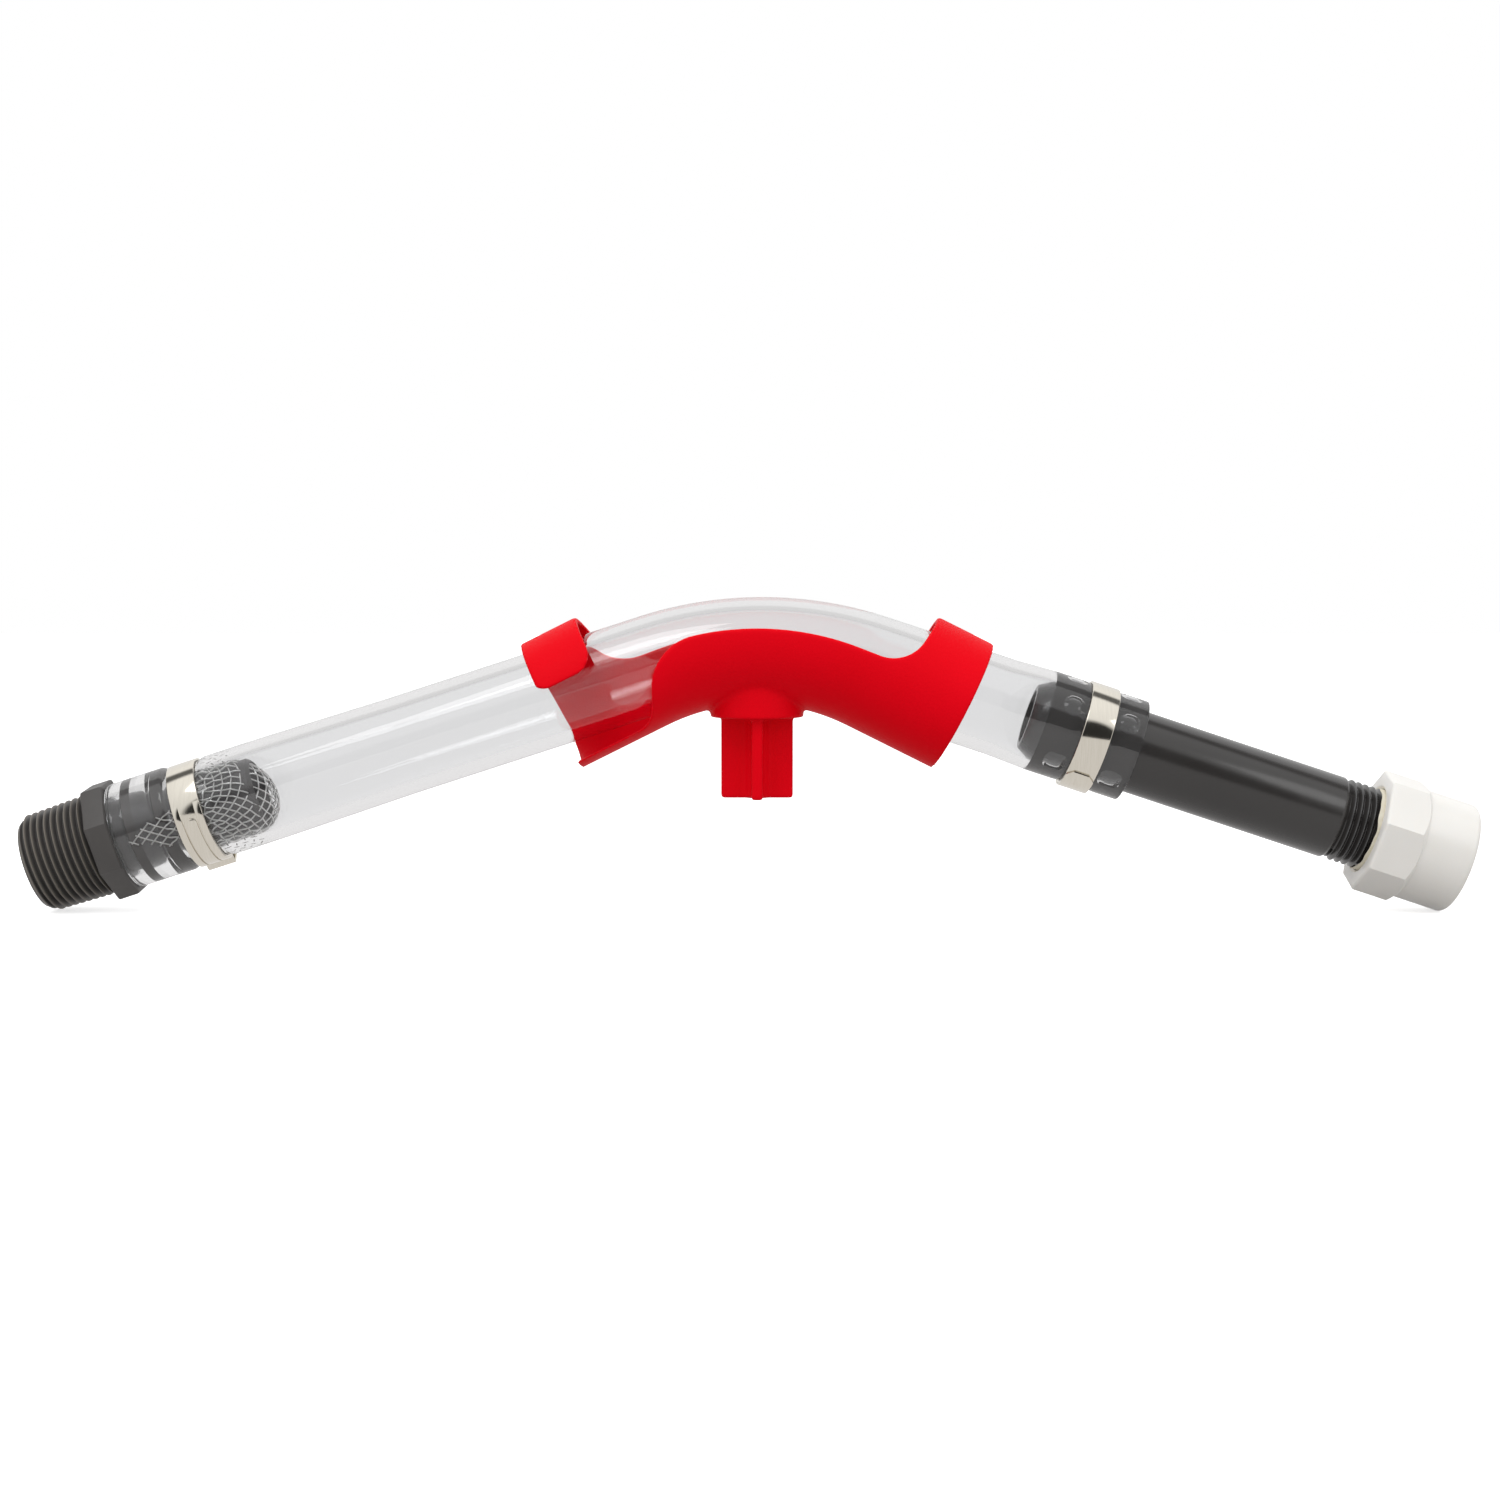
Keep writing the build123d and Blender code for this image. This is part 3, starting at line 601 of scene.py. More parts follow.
def cloth_point(across, along, lift, sizes):
    """Point of the cloth at two distances from its middle, along its two wires.

    The cloth is drawn over the barb's end like a hood.  Its distance from the middle runs down
    an ellipse-shaped dome and on along the barb, and its bearing becomes the roll, so the excess
    round the sides is gathered: from just before the clamp it stands in pleats, a sine of the
    bearing.  The dome leans, with its tip 1.4 mm below the axis.
    """
    dome, side, tip = 8.6 * MM, 10.0 * MM, INTAKE_CLAMP[0] - 16.8 * MM
    turn_in = np.linspace(0, pi / 2, 60)
    reaches = np.append(tip + dome * (1 - np.cos(turn_in)), INTAKE_CLAMP[1] + MM)
    radii = np.append(side * np.sin(turn_in), side)
    walked = np.concatenate([[0], np.cumsum(np.hypot(np.diff(reaches), np.diff(radii)))])
    distance = np.hypot(across, along)
    bearing = np.arctan2(along, across) - pi / 4
    reach = np.interp(distance, walked, reaches)
    radius = np.interp(distance, walked, radii)
    gathered = np.clip((reach - INTAKE_CLAMP[0] + 3.2 * MM) / (2.4 * MM), 0, 1)
    pleat = 0.5 + 0.5 * np.sin(19 * bearing + 3 * np.sin(2 * bearing))
    radius = radius - 0.35 * MM * gathered * pleat
    bearing = bearing + 0.07 * gathered * np.sin(23 * bearing + 1.3)
    on_dome = np.clip(1 - radius / (4 * MM), 0, 1)
    point = INTAKE.point(reach - lift * on_dome, radius + lift * (1 - on_dome), sizes.corner_roll + bearing)
    lean = 1.4 * MM * np.clip(1 - (reach - tip) / dome, 0, 1)
    return point - lean[..., None] * INTAKE.up


def corner_point(across, along, lift, sizes):
    """Point of the loose corner, on the barbs, with along measured outward from the clamp."""
    radius = 10.72 * MM + lift
    return INTAKE.point(INTAKE_CLAMP[1] + along, radius, sizes.corner_roll + across / radius)


def wire_tubes(centre, thick):
    """Each row of centre points as a five-sided tube of that radius with closed ends."""
    along = np.gradient(centre, axis=1)
    along /= np.maximum(np.linalg.norm(along, axis=-1), 1e-9)[..., None]
    spoke = centre - INTAKE.apex
    spoke = spoke - (spoke @ INTAKE.outward)[..., None] * INTAKE.outward + 1e-6 * INTAKE.up
    side = np.cross(along, spoke)
    side /= np.linalg.norm(side, axis=-1)[..., None]
    top = np.cross(side, along)
    angle = rolls(5)
    ring = np.cos(angle)[:, None] * side[..., None, :] + np.sin(angle)[:, None] * top[..., None, :]
    tube = centre[..., None, :] + thick * ring
    caps = [np.repeat(centre[:, i, None, None, :], len(angle), 2) for i in (0, -1)]
    return list(np.concatenate([caps[0], tube, caps[1]], 1))


def hood_wires(sizes, crosswise):
    """The wires of one direction over the barb's end.

    A wire runs from edge to edge of the square, or to the hood's hem, and goes over and under
    its neighbours: lift = 0.45 wire x cos(pi x distance / pitch).
    """
    count = int(sizes.half_side / sizes.mesh_pitch)
    offset = (np.arange(-count, count + 1) + 0.25) * sizes.mesh_pitch
    half = np.minimum(sizes.half_side, np.sqrt((1.18 * sizes.half_side) ** 2 - offset ** 2))
    run = half[:, None] * np.linspace(-1, 1, 130)[None, :]
    aside = np.broadcast_to(offset[:, None], run.shape)
    parity = np.arange(len(offset))[:, None] + (1 if crosswise else 0)
    lift = 0.45 * sizes.wire * np.cos(pi * (run / sizes.mesh_pitch - 0.25 + parity))
    across, along = (aside, run) if crosswise else (run, aside)
    return wire_tubes(cloth_point(across, along, lift, sizes), sizes.wire / 2)


def corner_wires(sizes, lean):
    """The wires of one direction in the loose corner, a leaf shape that narrows to its tip.

    They slant to the hose by the crossing angle, one way or the other, and each is cut where it
    leaves the leaf, whose half width is corner_half x (1 - (along / length)^1.6).
    """
    length = HOSE_INTAKE_END - INTAKE_CLAMP[1] - 3.4 * MM
    slant = lean * tan(sizes.corner_cross)
    gap = sizes.mesh_pitch / cos(sizes.corner_cross) * 0.82
    tubes = []
    for index in range(-7, 8):
        along = np.linspace(-1.5 * MM, length + 0.4 * MM, 400)
        across = (index + 0.3) * gap + slant * along
        leaf = sizes.corner_half * (1 - np.clip(along / length, 0, 1) ** 1.6)
        inside = np.abs(across) < leaf + 0.25 * MM
        if inside.sum() < 20:
            continue
        kept = np.flatnonzero(inside)[[0, -1]]
        along = np.linspace(along[kept[0]], along[kept[1]] + 0.3 * MM * np.sin(5.0 * index), 40)
        across = (index + 0.3) * gap + slant * along
        lift = 0.45 * sizes.wire * np.cos(pi * (2 * slant * along / gap + index * lean)) * lean
        tubes += wire_tubes(corner_point(across, along, lift, sizes)[None], sizes.wire / 2)
    return tubes


def hose_stations(sizes):
    """Distances along the hose from the start of its bend, and its centre and upward direction there.

    Straight, then an arc of the bend radius, then straight.
    """
    bend = np.arccos(float(-INTAKE.outward @ OUTLET.outward))
    tangent = sizes.bend_radius * tan(bend / 2)
    arc = sizes.bend_radius * bend
    fine, coarse = 0.3 * MM, 1.2 * MM
    marks = [(tangent - HOSE_INTAKE_END, fine), (tangent - BARB_NOSE + 8 * MM, coarse),
             (arc + 62 * MM - tangent, fine), (arc + HOSE_OUTLET_END - tangent, fine)]
    parts = [np.arange(a, b, step) for (a, step), (b, _) in zip(marks[:-1], marks[1:])]
    along = np.append(np.concatenate(parts), marks[-1][0])
    turned = np.clip(along, 0, arc)[:, None] / sizes.bend_radius
    start = INTAKE.apex + tangent * INTAKE.outward
    inward = -INTAKE.outward
    centre = start + sizes.bend_radius * (np.sin(turned) * inward - (1 - np.cos(turned)) * INTAKE.up)
    centre = centre + np.minimum(along, 0)[:, None] * inward
    centre = centre + np.maximum(along - arc, 0)[:, None] * OUTLET.outward
    up = np.cos(turned) * INTAKE.up + np.sin(turned) * inward
    return along, centre, up, tangent, arc


def hose_skins(sizes, intake):
    """Outside, bore and end faces of the hose as one closed skin.

    Each of the two radii follows straight lines between the places where something stretches
    or squeezes the hose, softened over a millimetre or two.
    """
    along, centre, up, tangent, arc = hose_stations(sizes)
    plain, bore = sizes.outside / 2, sizes.bore / 2
    on_barb = INTAKE.rim("vinyl_tube", HOSE_INTAKE_END)[1]
    on_nipple = OUTLET.rim("vinyl_tube", HOSE_OUTLET_END)[1]
    squeezed_in = INTAKE.rim("intake_clamp", INTAKE_CLAMP[0])[0] - 0.03 * MM
    squeezed_out = OUTLET.rim("outlet_clamp", OUTLET_CLAMP[0])[0] - 0.03 * MM
    over_screen = INTAKE.rim("vinyl_tube", INTAKE_CLAMP[0] - 2 * MM)[1]

    def intake_at(reach):
        return tangent - reach

    def outlet_at(reach):
        return arc + reach - tangent

    outer = [(intake_at(HOSE_INTAKE_END), on_barb), (intake_at(INTAKE_CLAMP[1] + 1.6 * MM), on_barb),
             (intake_at(INTAKE_CLAMP[1] + 0.2 * MM), squeezed_in),
             (intake_at(INTAKE_CLAMP[0] - 0.2 * MM), squeezed_in),
             (intake_at(INTAKE_CLAMP[0] - 1.8 * MM), over_screen),
             (intake_at(BARB_NOSE - 2.6 * MM), over_screen),
             (intake_at(BARB_NOSE - 38 * MM), plain), (outlet_at(64 * MM), plain),
             (outlet_at(75 * MM), on_nipple), (outlet_at(OUTLET_CLAMP[0] - 1.6 * MM), on_nipple),
             (outlet_at(OUTLET_CLAMP[0] - 0.1 * MM), squeezed_out),
             (outlet_at(OUTLET_CLAMP[1] + 0.1 * MM), squeezed_out),
             (outlet_at(OUTLET_CLAMP[1] + 1.6 * MM), on_nipple), (outlet_at(HOSE_OUTLET_END), on_nipple)]
    reaches, radii = barb_crests(intake)
    touch, span = 0.04 * MM, 0.45 * MM
    nipple = OUTLET.rim("vinyl_tube", HOSE_OUTLET_END)[0] - 0.05 * MM
    inner = [(intake_at(HOSE_INTAKE_END), radii[2] + 0.1 * MM),
             (intake_at(reaches[2] + 0.4 * MM), radii[2]),
             (intake_at(reaches[2]), radii[2] - touch), (intake_at(reaches[2] - 2 * MM), radii[2] - span),
             (intake_at(reaches[1] + 1.5 * MM), radii[1] - span), (intake_at(reaches[1]), radii[1] - touch),
             (intake_at(reaches[1] - 1.5 * MM), radii[1] - span), (intake_at(INTAKE_CLAMP[1]), 10.24 * MM),
             (intake_at(INTAKE_CLAMP[0]), 10.2 * MM), (intake_at(BARB_NOSE), 10.3 * MM),
             (intake_at(BARB_NOSE - 38 * MM), bore), (outlet_at(64 * MM), bore),
             (outlet_at(74.4 * MM), nipple - 0.04 * MM), (outlet_at(HOSE_OUTLET_END), nipple - 0.04 * MM)]
    outside = smooth_steps(along, *zip(*outer), 1.5 * MM)
    inside = smooth_steps(along, *zip(*inner), 0.8 * MM)
    outside[[0, -1]] -= 0.25 * MM
    outside[[1, -2]] -= 0.02 * MM
    roll = rolls(sizes.columns)
    reach = along - arc + tangent
    patches = (OUTLET_CLAMP[0] - 3.6 * MM, OUTLET_CLAMP[1] + 3.8 * MM)
    beside = [np.exp(-((reach - at) / (2.4 * MM)) ** 2) for at in patches]
    patch = np.clip(np.sin(5 * roll + 0.9)[None, :] + 0.6 * np.sin(8 * roll + 2.0)[None, :], 0, 1)
    lifted = 0.4 * MM * np.clip(2.2 * (beside[0] + beside[1])[:, None] * patch - 0.5, 0, 1)
    spoke = np.cos(roll)[None, :, None] * up[:, None, :] + np.sin(roll)[None, :, None] * INTAKE.back
    skins = [centre[:, None, :] + outside[:, None, None] * spoke,
             centre[:, None, :] + (inside[:, None] + lifted)[..., None] * spoke]
    ends = [np.stack([skins[0][i], skins[1][i]]) for i in (0, -1)]
    return skins + ends


def clamp_skins(arm, node, span, sizes, ear_roll):
    """Band and ear shared by both clamps: a closed ring, and a folded loop standing on it."""
    inner = arm.rim(node, span[0])[0]
    middle, half = (span[0] + span[1]) / 2, (span[1] - span[0]) / 2
    thick = sizes.thickness
    band = ribbon(arm, circle_path(inner + thick / 2, 0, TURN, 180), middle, half, thick, closed=True)
    base, height, width = inner + thick * 0.5, 2.6 * MM, 5.6 * MM
    bend = 0.9 * MM
    arc = np.linspace(0, pi / 2, 7)
    out_side = [(0, -width / 2)]
    out_side += [(height - bend + bend * sin(a), -width / 2 + bend - bend * cos(a)) for a in arc]
    back_side = [(height - bend + bend * cos(a), width / 2 - bend + bend * sin(a)) for a in arc]
    loop = np.array(out_side + back_side + [(0, width / 2)])
    loop[:, 0] += base
    turn_to = np.array([[cos(ear_roll), sin(ear_roll)], [-sin(ear_roll), cos(ear_roll)]])
    ear = ribbon(arm, loop @ turn_to, middle, half, thick)
    return [band, ear], inner, middle, half


def tooth_skin(arm, radius, roll, reach, length, width, height):
    """Low D-shaped dome lanced out of the strip: height x (1 - distance squared) over half an oval."""
    out = np.linspace(0, 1, 8)[:, None]
    angle = np.linspace(-pi / 2, pi / 2, 17)[None, :]
    along = length * out * np.cos(angle)
    across = width / 2 * out * np.sin(angle)
    rise = height * (1 - out ** 4) * (1 - 0.6 * along / length)
    top = arm.point(reach + across, radius + rise, roll + along / radius)
    foot = arm.point(reach + across, radius - 0.1 * MM + 0 * rise, roll + along / radius)
    wall = np.stack([top[:, [0, -1]], foot[:, [0, -1]]])
    return [top, foot, wall[:, :, 0], wall[:, :, 1]]


def saddle_mesh(sizes):
    """The saddle's CAD solid with its edges rounded: remeshed in voxels, then relaxed."""
    mesh = frame["nodes"]["saddle"].data.copy()
    work = bmesh.new()
    work.from_mesh(mesh)
    bmesh.ops.remove_doubles(work, verts=work.verts, dist=MERGE_WITHIN)
    work.to_mesh(mesh)
    work.free()
    rough = bpy.data.objects.new("saddle_rough", mesh)
    bpy.context.scene.collection.objects.link(rough)
    voxels = rough.modifiers.new("Voxels", "REMESH")
    voxels.mode = "VOXEL"
    voxels.voxel_size = sizes.voxel
    relax = rough.modifiers.new("Relax", "SMOOTH")
    relax.factor = 0.5
    relax.iterations = sizes.rounding
    graph = bpy.context.evaluated_depsgraph_get()
    rounded = bpy.data.meshes.new_from_object(rough.evaluated_get(graph))
    rounded.name = "saddle_moulding"
    bpy.data.objects.remove(rough)
    return rounded


def nipple_skins(sizes):
    """Bevelled inner end, plain pipe, threaded outer end and bore."""
    start, end = OUTLET.span("pipe_nipple")
    full, bore = sizes.nipple_od / 2, sizes.nipple_bore / 2
    pitch, depth = PIPE_PITCH, 1.15 * MM
    neck = ADAPTER_FACE - (sizes.showing + 0.6) * pitch
    plain = [(start, bore), (start, 8.3 * MM), (start + 0.2 * MM, 8.55 * MM),
             (start + 3.6 * MM, full - 0.12 * MM), (start + 4.2 * MM, full),
             (neck - 1.6 * MM, full), (neck - 1.3 * MM, full - 0.1 * MM),
             (neck, full - depth)]
    thread, share = helix(OUTLET, neck, end, pitch, depth, lambda reach: full + 0 * reach,
                          lambda reach: full - depth + (end - reach), first=0.35 * pitch)
    inner = [(end, full - depth), (end, bore), (start, bore)]
    skins = [lathe(OUTLET, plain), thread, lathe(OUTLET, inner)]
    return skins, [np.zeros(skins[0].shape[:2]), share, np.zeros(skins[2].shape[:2])]


def tape_skins(sizes):
    """Wound tape as a thin closed sleeve whose free edge wanders a little in reach."""
    start, end = OUTLET.span("thread_seal_tape")
    low = OUTLET.rim("thread_seal_tape", end)[0]
    thick = 0.15 * MM
    roll = rolls(128)
    wander = 0.22 * MM * (np.sin(3 * roll + 1.0) + 0.6 * np.sin(7 * roll) + 0.4 * np.sin(13 * roll + 2.0))
    ruck = 0.025 * MM * np.sin(11 * roll)
    edge = start + 0.5 * MM
    rows = [(edge, 0.0), (edge, thick), (ADAPTER_FACE, thick), (end, thick), (end, 0.0), (edge, 0.0)]
    loose = np.array([1, 1, 0, 0, 0, 1.0])
    reach, rise = np.array(rows).T
    reach = reach[:, None] + loose[:, None] * wander[None, :]
    radius = low + rise[:, None] + loose[:, None] * ruck[None, :]
    return [OUTLET.point(reach, radius, roll[None, :])]


def adapter_skins(sizes):
    """Octagon end with its inner thread, scalloped into a round socket end."""
    start, end = OUTLET.span("female_adapter")
    body, socket = sizes.body / 2, sizes.socket / 2
    shoulder = start + sizes.octagon_length
    roll = rolls(256, sizes.corner)
    sides = eight_sided(roll, sizes.corner, sizes.flats)
    reach = np.concatenate([[start, start + 0.15 * MM, start + 0.5 * MM],
                            np.linspace(start + 0.8 * MM, shoulder, 8),
                            np.linspace(shoulder, shoulder + 1.9 * MM, 26)[1:],
                            np.linspace(shoulder + 2.2 * MM, end - 1.6 * MM, 6)])
    trim = np.interp(reach, [start, start + 0.15 * MM, start + 0.5 * MM, start + 0.8 * MM],
                     [0.65 * MM, 0.35 * MM, 0.08 * MM, 0])
    cone = body + 1.85 * MM - (reach - shoulder) * 1.15
    radius = np.maximum(np.minimum(sides[None, :] - trim[:, None], cone[:, None]), body)
    radius[reach <= shoulder] = (sides[None, :] - trim[:, None])[reach <= shoulder]
    outside = OUTLET.point(reach[:, None], radius, roll[None, :])
    turn_in = np.linspace(0, pi / 2, 7)
    rim = [(end - 1.6 * MM, body)]
    rim += [(end - 1.5 * MM * (1 - sin(a)), body - 1.5 * MM * (1 - cos(a))) for a in turn_in]
    web = ADAPTER_FACE + 11.6 * MM
    rim += [(end, socket + 0.35 * MM), (end - 0.35 * MM, socket), (web + 1.2 * MM, socket - 0.02 * MM),
            (web + 1.2 * MM, sizes.nipple_bore / 2), (web, sizes.nipple_bore / 2),
            (web, sizes.thread_id / 2 + 0.75 * MM)]
    far = lathe(OUTLET, rim, 256, sizes.corner)
    mouth_rows = [(web, sizes.thread_id / 2 + 0.75 * MM)]
    turns = int((web - start) / PIPE_PITCH)
    for index in range(2 * turns):
        wave = sizes.thread_id / 2 + (0.05 * MM if index % 2 else 0.7 * MM)
        mouth_rows.append((web - (index + 0.5) * PIPE_PITCH / 2, wave))
    mouth_rows += [(start + 0.5 * MM, sizes.thread_id / 2 + 0.1 * MM),
                   (start, sizes.thread_id / 2 + 0.7 * MM)]
    mouth = lathe(OUTLET, mouth_rows, 256, sizes.corner)
    face = np.stack([mouth[-1], outside[0]])
    return [outside, far, mouth, face]


# --- operators ------------------------------------------------------------------------------------

class SiphonOperator:
    """What every operator here shares."""
    bl_options = {"REGISTER"}


class AddIntakeFitting(SiphonOperator, bpy.types.Operator):
    """Grey threaded fitting with an octagon and three barbs"""
    bl_idname = "siphon.intake_fitting"
    bl_label = "Intake fitting"

    def execute(self, context):
        skins, shades = fitting_skins(context.scene.siphon_intake)
        mesh = skin_mesh("intake_fitting", skins, shades)
        place("intake_fitting", mesh, grey_pvc(), "siphon", ["male_adapter"])
        return {"FINISHED"}


class AddScreen(SiphonOperator, bpy.types.Operator):
    """Woven wire strainer drawn over the barb's end, with one loose corner"""
    bl_idname = "siphon.screen"
    bl_label = "Strainer screen"

    def execute(self, context):
        sizes = context.scene.siphon_screen
        wires = [tube for crosswise in (False, True) for tube in hood_wires(sizes, crosswise)]
        wires += [tube for lean in (1, -1) for tube in corner_wires(sizes, lean)]
        mesh = skin_mesh("strainer_cloth", wires)
        place("strainer_cloth", mesh, wire_cloth_steel(), "siphon", ["strainer_screen"], 80.0)
        return {"FINISHED"}


class AddClamps(SiphonOperator, bpy.types.Operator):
    """The two stainless strip clamps"""
    bl_idname = "siphon.clamps"
    bl_label = "Clamps"

    def execute(self, context):
        sizes = context.scene.siphon_clamps
        self.intake(sizes)
        self.outlet(sizes)
        return {"FINISHED"}

    def intake(self, sizes):
        """Its strip's outer end has two slots: a tongue between two rails, the tongue's end rounded."""
        ear, arc = radians(155), radians(113)
        skins, inner, middle, half = clamp_skins(INTAKE, "intake_clamp", INTAKE_CLAMP, sizes, ear)
        top = inner + sizes.thickness + 0.2 * MM
        tongue_half = 1.6 * MM
        tip = np.clip((1 - np.linspace(0, 1, 91)) * arc * top / tongue_half, 0, 1)
        skins.append(ribbon(INTAKE, circle_path(top, ear, ear + arc, 90), middle,
                            tongue_half * np.sqrt(1 - (1 - tip) ** 2) + 0.01 * MM, 0.5 * MM))
        rail_half = (half - tongue_half - sizes.slot) / 2
        fade = np.clip(np.linspace(0, 1, 91) * 3.2 - 2.2, 0, 1)
        rail = circle_path(1.0, ear, ear + arc + radians(20), 90) * (top - 0.5 * MM * fade)[:, None]
        for side in (-1, 1):
            skins.append(ribbon(INTAKE, rail, middle + side * (half - rail_half), rail_half, 0.5 * MM))
        place("intake_strip_clamp", skin_mesh("intake_strip_clamp", skins), strip_steel(INTAKE), "siphon",
              ["intake_clamp"])

    def outlet(self, sizes):
        """Its strip's outer end is one piece with its corners cut off and a tooth lanced out of it."""
        ear, arc = radians(115), radians(113)
        skins, inner, middle, half = clamp_skins(OUTLET, "outlet_clamp", OUTLET_CLAMP, sizes, ear)
        top = inner + sizes.thickness + 0.25 * MM
        left = (1 - np.linspace(0, 1, 91)) * arc * top
        width = half - np.clip(1.7 * MM - left, 0, 1.7 * MM)
        skins.append(ribbon(OUTLET, circle_path(top, ear, ear + arc, 90), middle, width, 0.5 * MM))
        tooth_roll = ear + arc - radians(20)
        skins += tooth_skin(OUTLET, top + 0.2 * MM, tooth_roll, middle, 1.7 * MM, 2.6 * MM, 0.28 * MM)
        place("outlet_strip_clamp", skin_mesh("outlet_strip_clamp", skins), strip_steel(OUTLET), "siphon",
              ["outlet_clamp"])


class AddHose(SiphonOperator, bpy.types.Operator):
    """Clear hose, stretched over the fittings at its two ends"""
    bl_idname = "siphon.hose"
    bl_label = "Hose"

    def execute(self, context):
        scene = context.scene
        mesh = skin_mesh("clear_hose", hose_skins(scene.siphon_hose, scene.siphon_intake))
        place("clear_hose", mesh, clear_vinyl(), "siphon", ["vinyl_tube"], 50.0)
        return {"FINISHED"}


class AddSaddle(SiphonOperator, bpy.types.Operator):
    """Red moulded saddle with its hooks and cross-ribbed post"""
    bl_idname = "siphon.saddle"
    bl_label = "Saddle"

    def execute(self, context):
        mesh = saddle_mesh(context.scene.siphon_saddle)
        place("saddle_moulding", mesh, red_moulding(), "siphon", ["saddle"], 60.0)
        return {"FINISHED"}


class AddOutlet(SiphonOperator, bpy.types.Operator):
    """Pipe nipple, the tape wound on its thread, and the white adapter screwed onto it"""
    bl_idname = "siphon.outlet"
    bl_label = "Nipple, tape and adapter"

    def execute(self, context):
        sizes = context.scene.siphon_outlet
        skins, shades = nipple_skins(sizes)
        nipple = skin_mesh("nipple", skins, shades)
        place("nipple", nipple, nipple_pvc(), "siphon", ["pipe_nipple"])
        place("thread_tape", skin_mesh("thread_tape", tape_skins(sizes)), seal_tape(), "tape_wrap",
              ["thread_seal_tape"])
        place("socket_adapter", skin_mesh("socket_adapter", adapter_skins(sizes)), white_pvc(), "adapter",
              ["female_adapter"], 30.0)
        return {"FINISHED"}


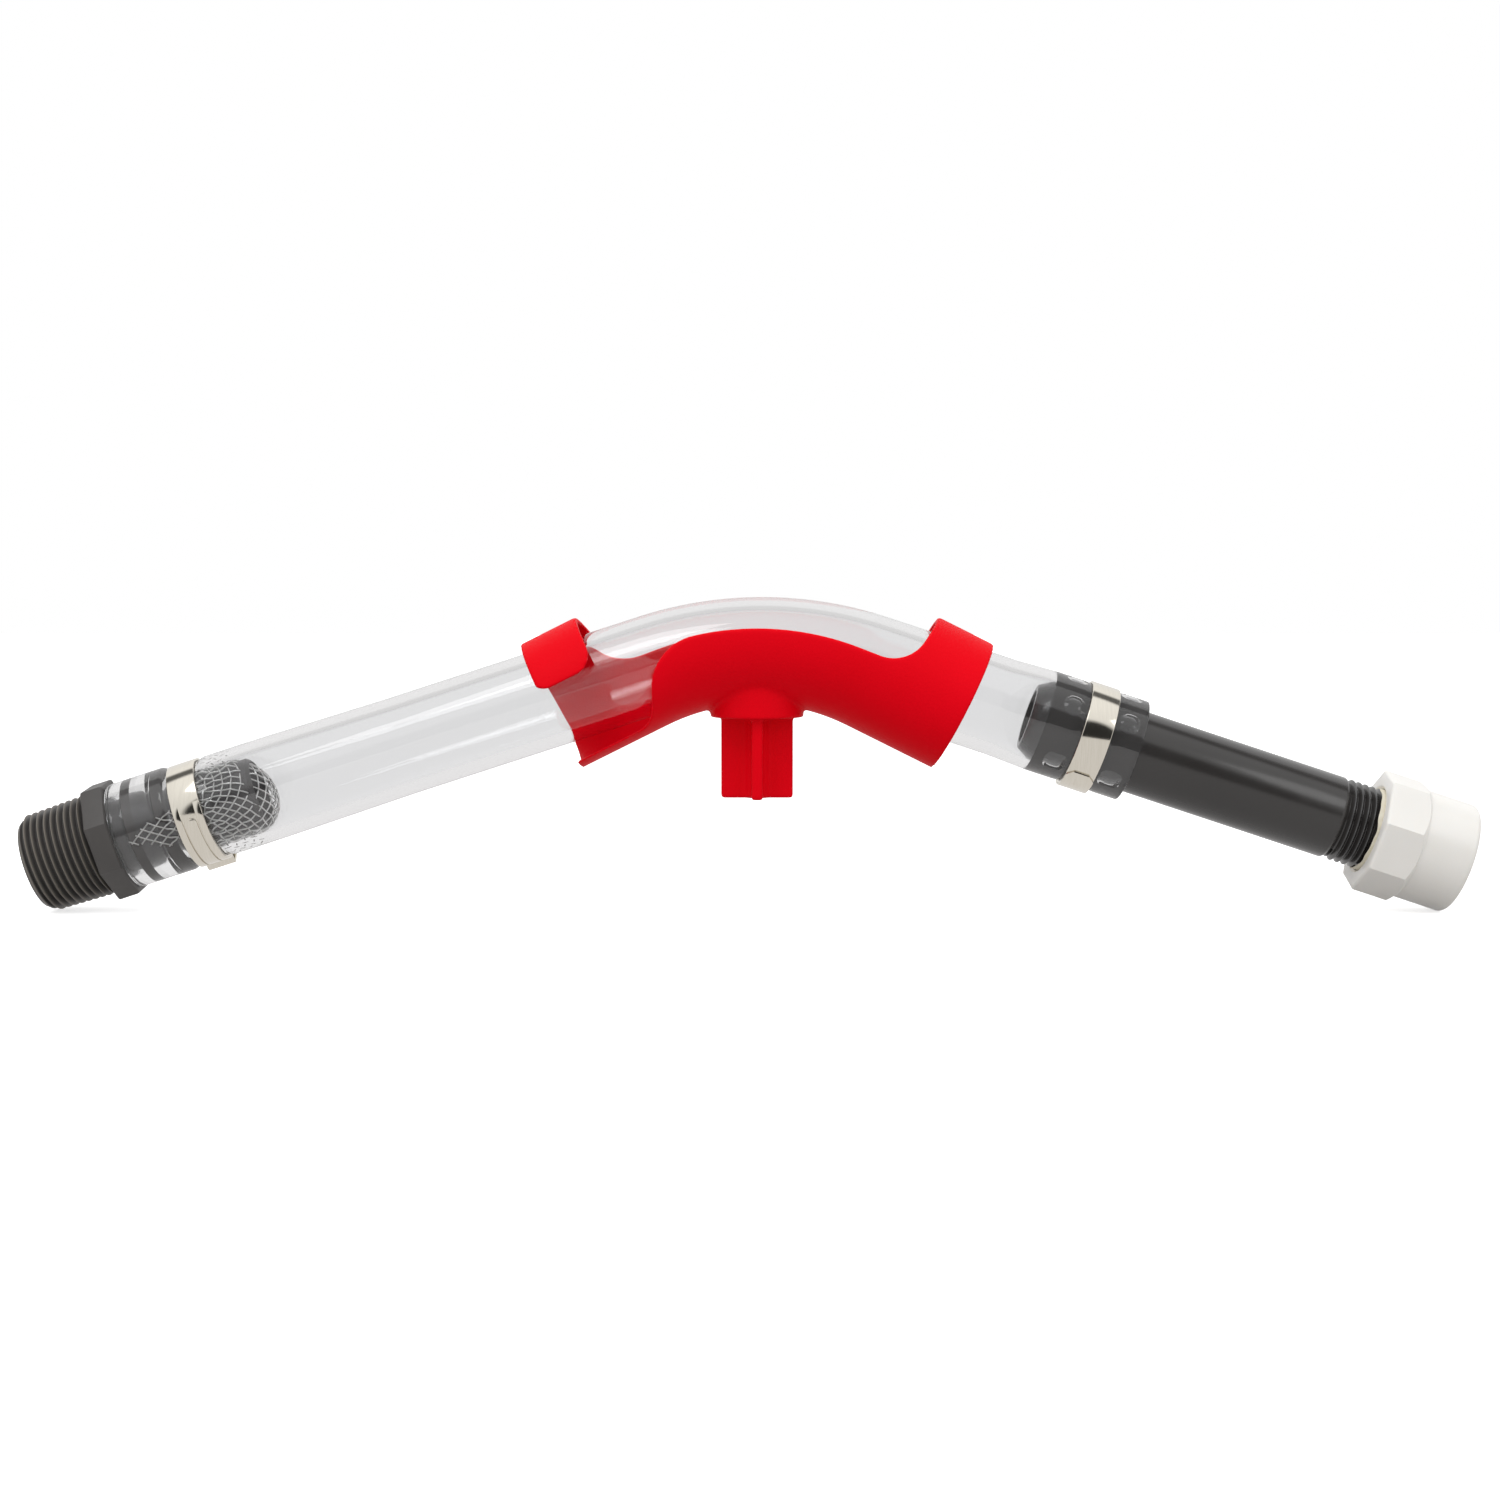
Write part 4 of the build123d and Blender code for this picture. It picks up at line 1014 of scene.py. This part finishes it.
class AddStage(SiphonOperator, bpy.types.Operator):
    """Pale floor, light tent, lamps and camera"""
    bl_idname = "siphon.stage"
    bl_label = "Stage"

    def execute(self, context):
        settings = context.scene.siphon_stage
        self.floor()
        self.tent(context.scene)
        self.lamp("Key lamp", (-0.3, -0.5, 0.8), 0.35, 1.3)
        self.lamp("Fill lamp", (0.7, -0.5, 0.45), 0.3, 0.5)
        self.camera(context.scene, settings)
        context.scene.view_settings.view_transform = "Standard"
        return {"FINISHED"}

    def floor(self):
        """White sheet lit from under as well, so its shadows are faint; it throws back less light."""
        reach = 3.0
        corners = np.array([[(x, y, 0) for x in (-reach, reach)] for y in (-reach, reach)])
        mesh = skin_mesh("floor", [corners])
        material, tree, shader, where = new_material("White acrylic sheet", {"Roughness": 0.6, "IOR": 1.49})
        tone = mottle(tree, where, 40 * MM, "#F2F2F2", "#F6F6F6")
        tree.links.new(shader.inputs["Base Color"], tone)
        glow = add(tree, "Emission", {"Color": colour("#FFFFFF"), "Strength": 0.62})
        lifted = add(tree, "AddShader", links={0: shader.outputs[0], 1: glow.outputs[0]})
        behind = add(tree, "Emission", {"Color": colour("#FFFDFC"), "Strength": 0.82})
        dim = add(tree, "BsdfDiffuse", {"Color": colour("#B4B2B0")})
        path = add(tree, "LightPath").outputs
        sharp = either(tree, path["Is Transmission Ray"], path["Is Glossy Ray"])
        for_light = mix_shaders(tree, sharp, dim, behind)
        replace_output(tree, mix_shaders(tree, path["Is Camera Ray"], for_light, lifted))
        mesh.materials.append(material)
        sheet = bpy.data.objects.new("floor", mesh)
        bpy.context.scene.collection.objects.link(sheet)

    def tent(self, scene):
        """White all round for the camera.

        In reflections it is dark at the opening in front and along a seam overhead.  Seen through
        something clear, it dims towards the front.
        """
        world = bpy.data.worlds.new("Light tent")
        world.use_nodes = True
        tree = world.node_tree
        tree.nodes.clear()
        toward = add(tree, "TexCoord").outputs["Generated"]
        direction = add(tree, "SeparateXYZ", links={0: toward}).outputs
        path = add(tree, "LightPath").outputs
        facing = add(tree, "VectorMath", {"operation": "DOT_PRODUCT", 1: (0.17, -0.983, 0.06)}, {0: toward})
        opening = spread(tree, facing.outputs["Value"], 0.84, 0.9, 1.0, 0.03)
        aside = add(tree, "Math", {"operation": "SUBTRACT", 1: 0.22}, {0: direction["Y"]})
        apart = add(tree, "Math", {"operation": "ABSOLUTE"}, {0: aside.outputs[0]})
        seam = spread(tree, apart.outputs[0], 0.1, 0.2, 0.12, 1.0)
        both_gaps = product(tree, seam, opening)
        gaps = add(tree, "Mix", {2: 1.0}, {"Factor": path["Is Glossy Ray"], 3: both_gaps})
        round_about = spread(tree, direction["Z"], -0.1, 0.9, 0.8, 1.15)
        level = product(tree, round_about, gaps.outputs[0])
        lit = add(tree, "Background", {"Color": (1, 1, 1, 1)}, {"Strength": level})
        depth = spread(tree, direction["Y"], -0.3, 0.85, 0.4, 0.82)
        behind = add(tree, "Background", {"Color": colour("#FFFDFC")}, {"Strength": depth})
        seen = add(tree, "Background", {"Color": (1, 1, 1, 1), "Strength": 1.0})
        through = mix_shaders(tree, path["Is Transmission Ray"], lit, behind)
        both = mix_shaders(tree, path["Is Camera Ray"], through, seen)
        add(tree, "OutputWorld", links={"Surface": both.outputs[0]})
        scene.world = world

    def lamp(self, name, spot, width, power):
        """Square soft lamp that faces the siphon."""
        data = bpy.data.lights.new(name, "AREA")
        data.size = width
        data.energy = power
        lamp = bpy.data.objects.new(name, data)
        lamp.location = spot
        lamp.rotation_euler = (-Vector(spot)).to_track_quat("-Z", "Y").to_euler()
        bpy.context.scene.collection.objects.link(lamp)

    def camera(self, scene, settings):
        """Looks level-ish along +Y at the aim point, from the distance in front of it."""
        data = bpy.data.cameras.new("Camera")
        data.lens = settings.lens
        camera = bpy.data.objects.new("Camera", data)
        back = Vector((0.0, -cos(settings.elevation), sin(settings.elevation)))
        camera.location = Vector(settings.aim) + back * settings.distance
        camera.rotation_euler = (-back).to_track_quat("-Z", "Y").to_euler()
        scene.collection.objects.link(camera)
        scene.camera = camera


class SiphonPanel(bpy.types.Panel):
    """Lists the siphon's pieces and their sizes"""
    bl_idname = "VIEW3D_PT_siphon"
    bl_label = "Siphon"
    bl_space_type = "VIEW_3D"
    bl_region_type = "UI"
    bl_category = "Siphon"

    def draw(self, context):
        for operator in OPERATORS:
            self.layout.operator(operator.bl_idname)
        for name, group in GROUPS.items():
            column = self.layout.column()
            column.label(text=group.__name__)
            for key in group.__annotations__:
                column.prop(getattr(context.scene, name), key)


OPERATORS = (AddIntakeFitting, AddScreen, AddClamps, AddHose, AddSaddle, AddOutlet, AddStage)


def register():
    for group in GROUPS.values():
        bpy.utils.register_class(group)
    for operator in OPERATORS:
        bpy.utils.register_class(operator)
    bpy.utils.register_class(SiphonPanel)
    for name, group in GROUPS.items():
        setattr(bpy.types.Scene, name, PointerProperty(type=group))


def unregister():
    for name in GROUPS:
        delattr(bpy.types.Scene, name)
    bpy.utils.unregister_class(SiphonPanel)
    for operator in OPERATORS:
        bpy.utils.unregister_class(operator)
    for group in GROUPS.values():
        bpy.utils.unregister_class(group)


def main():
    """Builds every piece and the stage."""
    register()
    for operator in OPERATORS:
        area, name = operator.bl_idname.split(".")
        getattr(getattr(bpy.ops, area), name)()


if __name__ == "__main__":
    main()
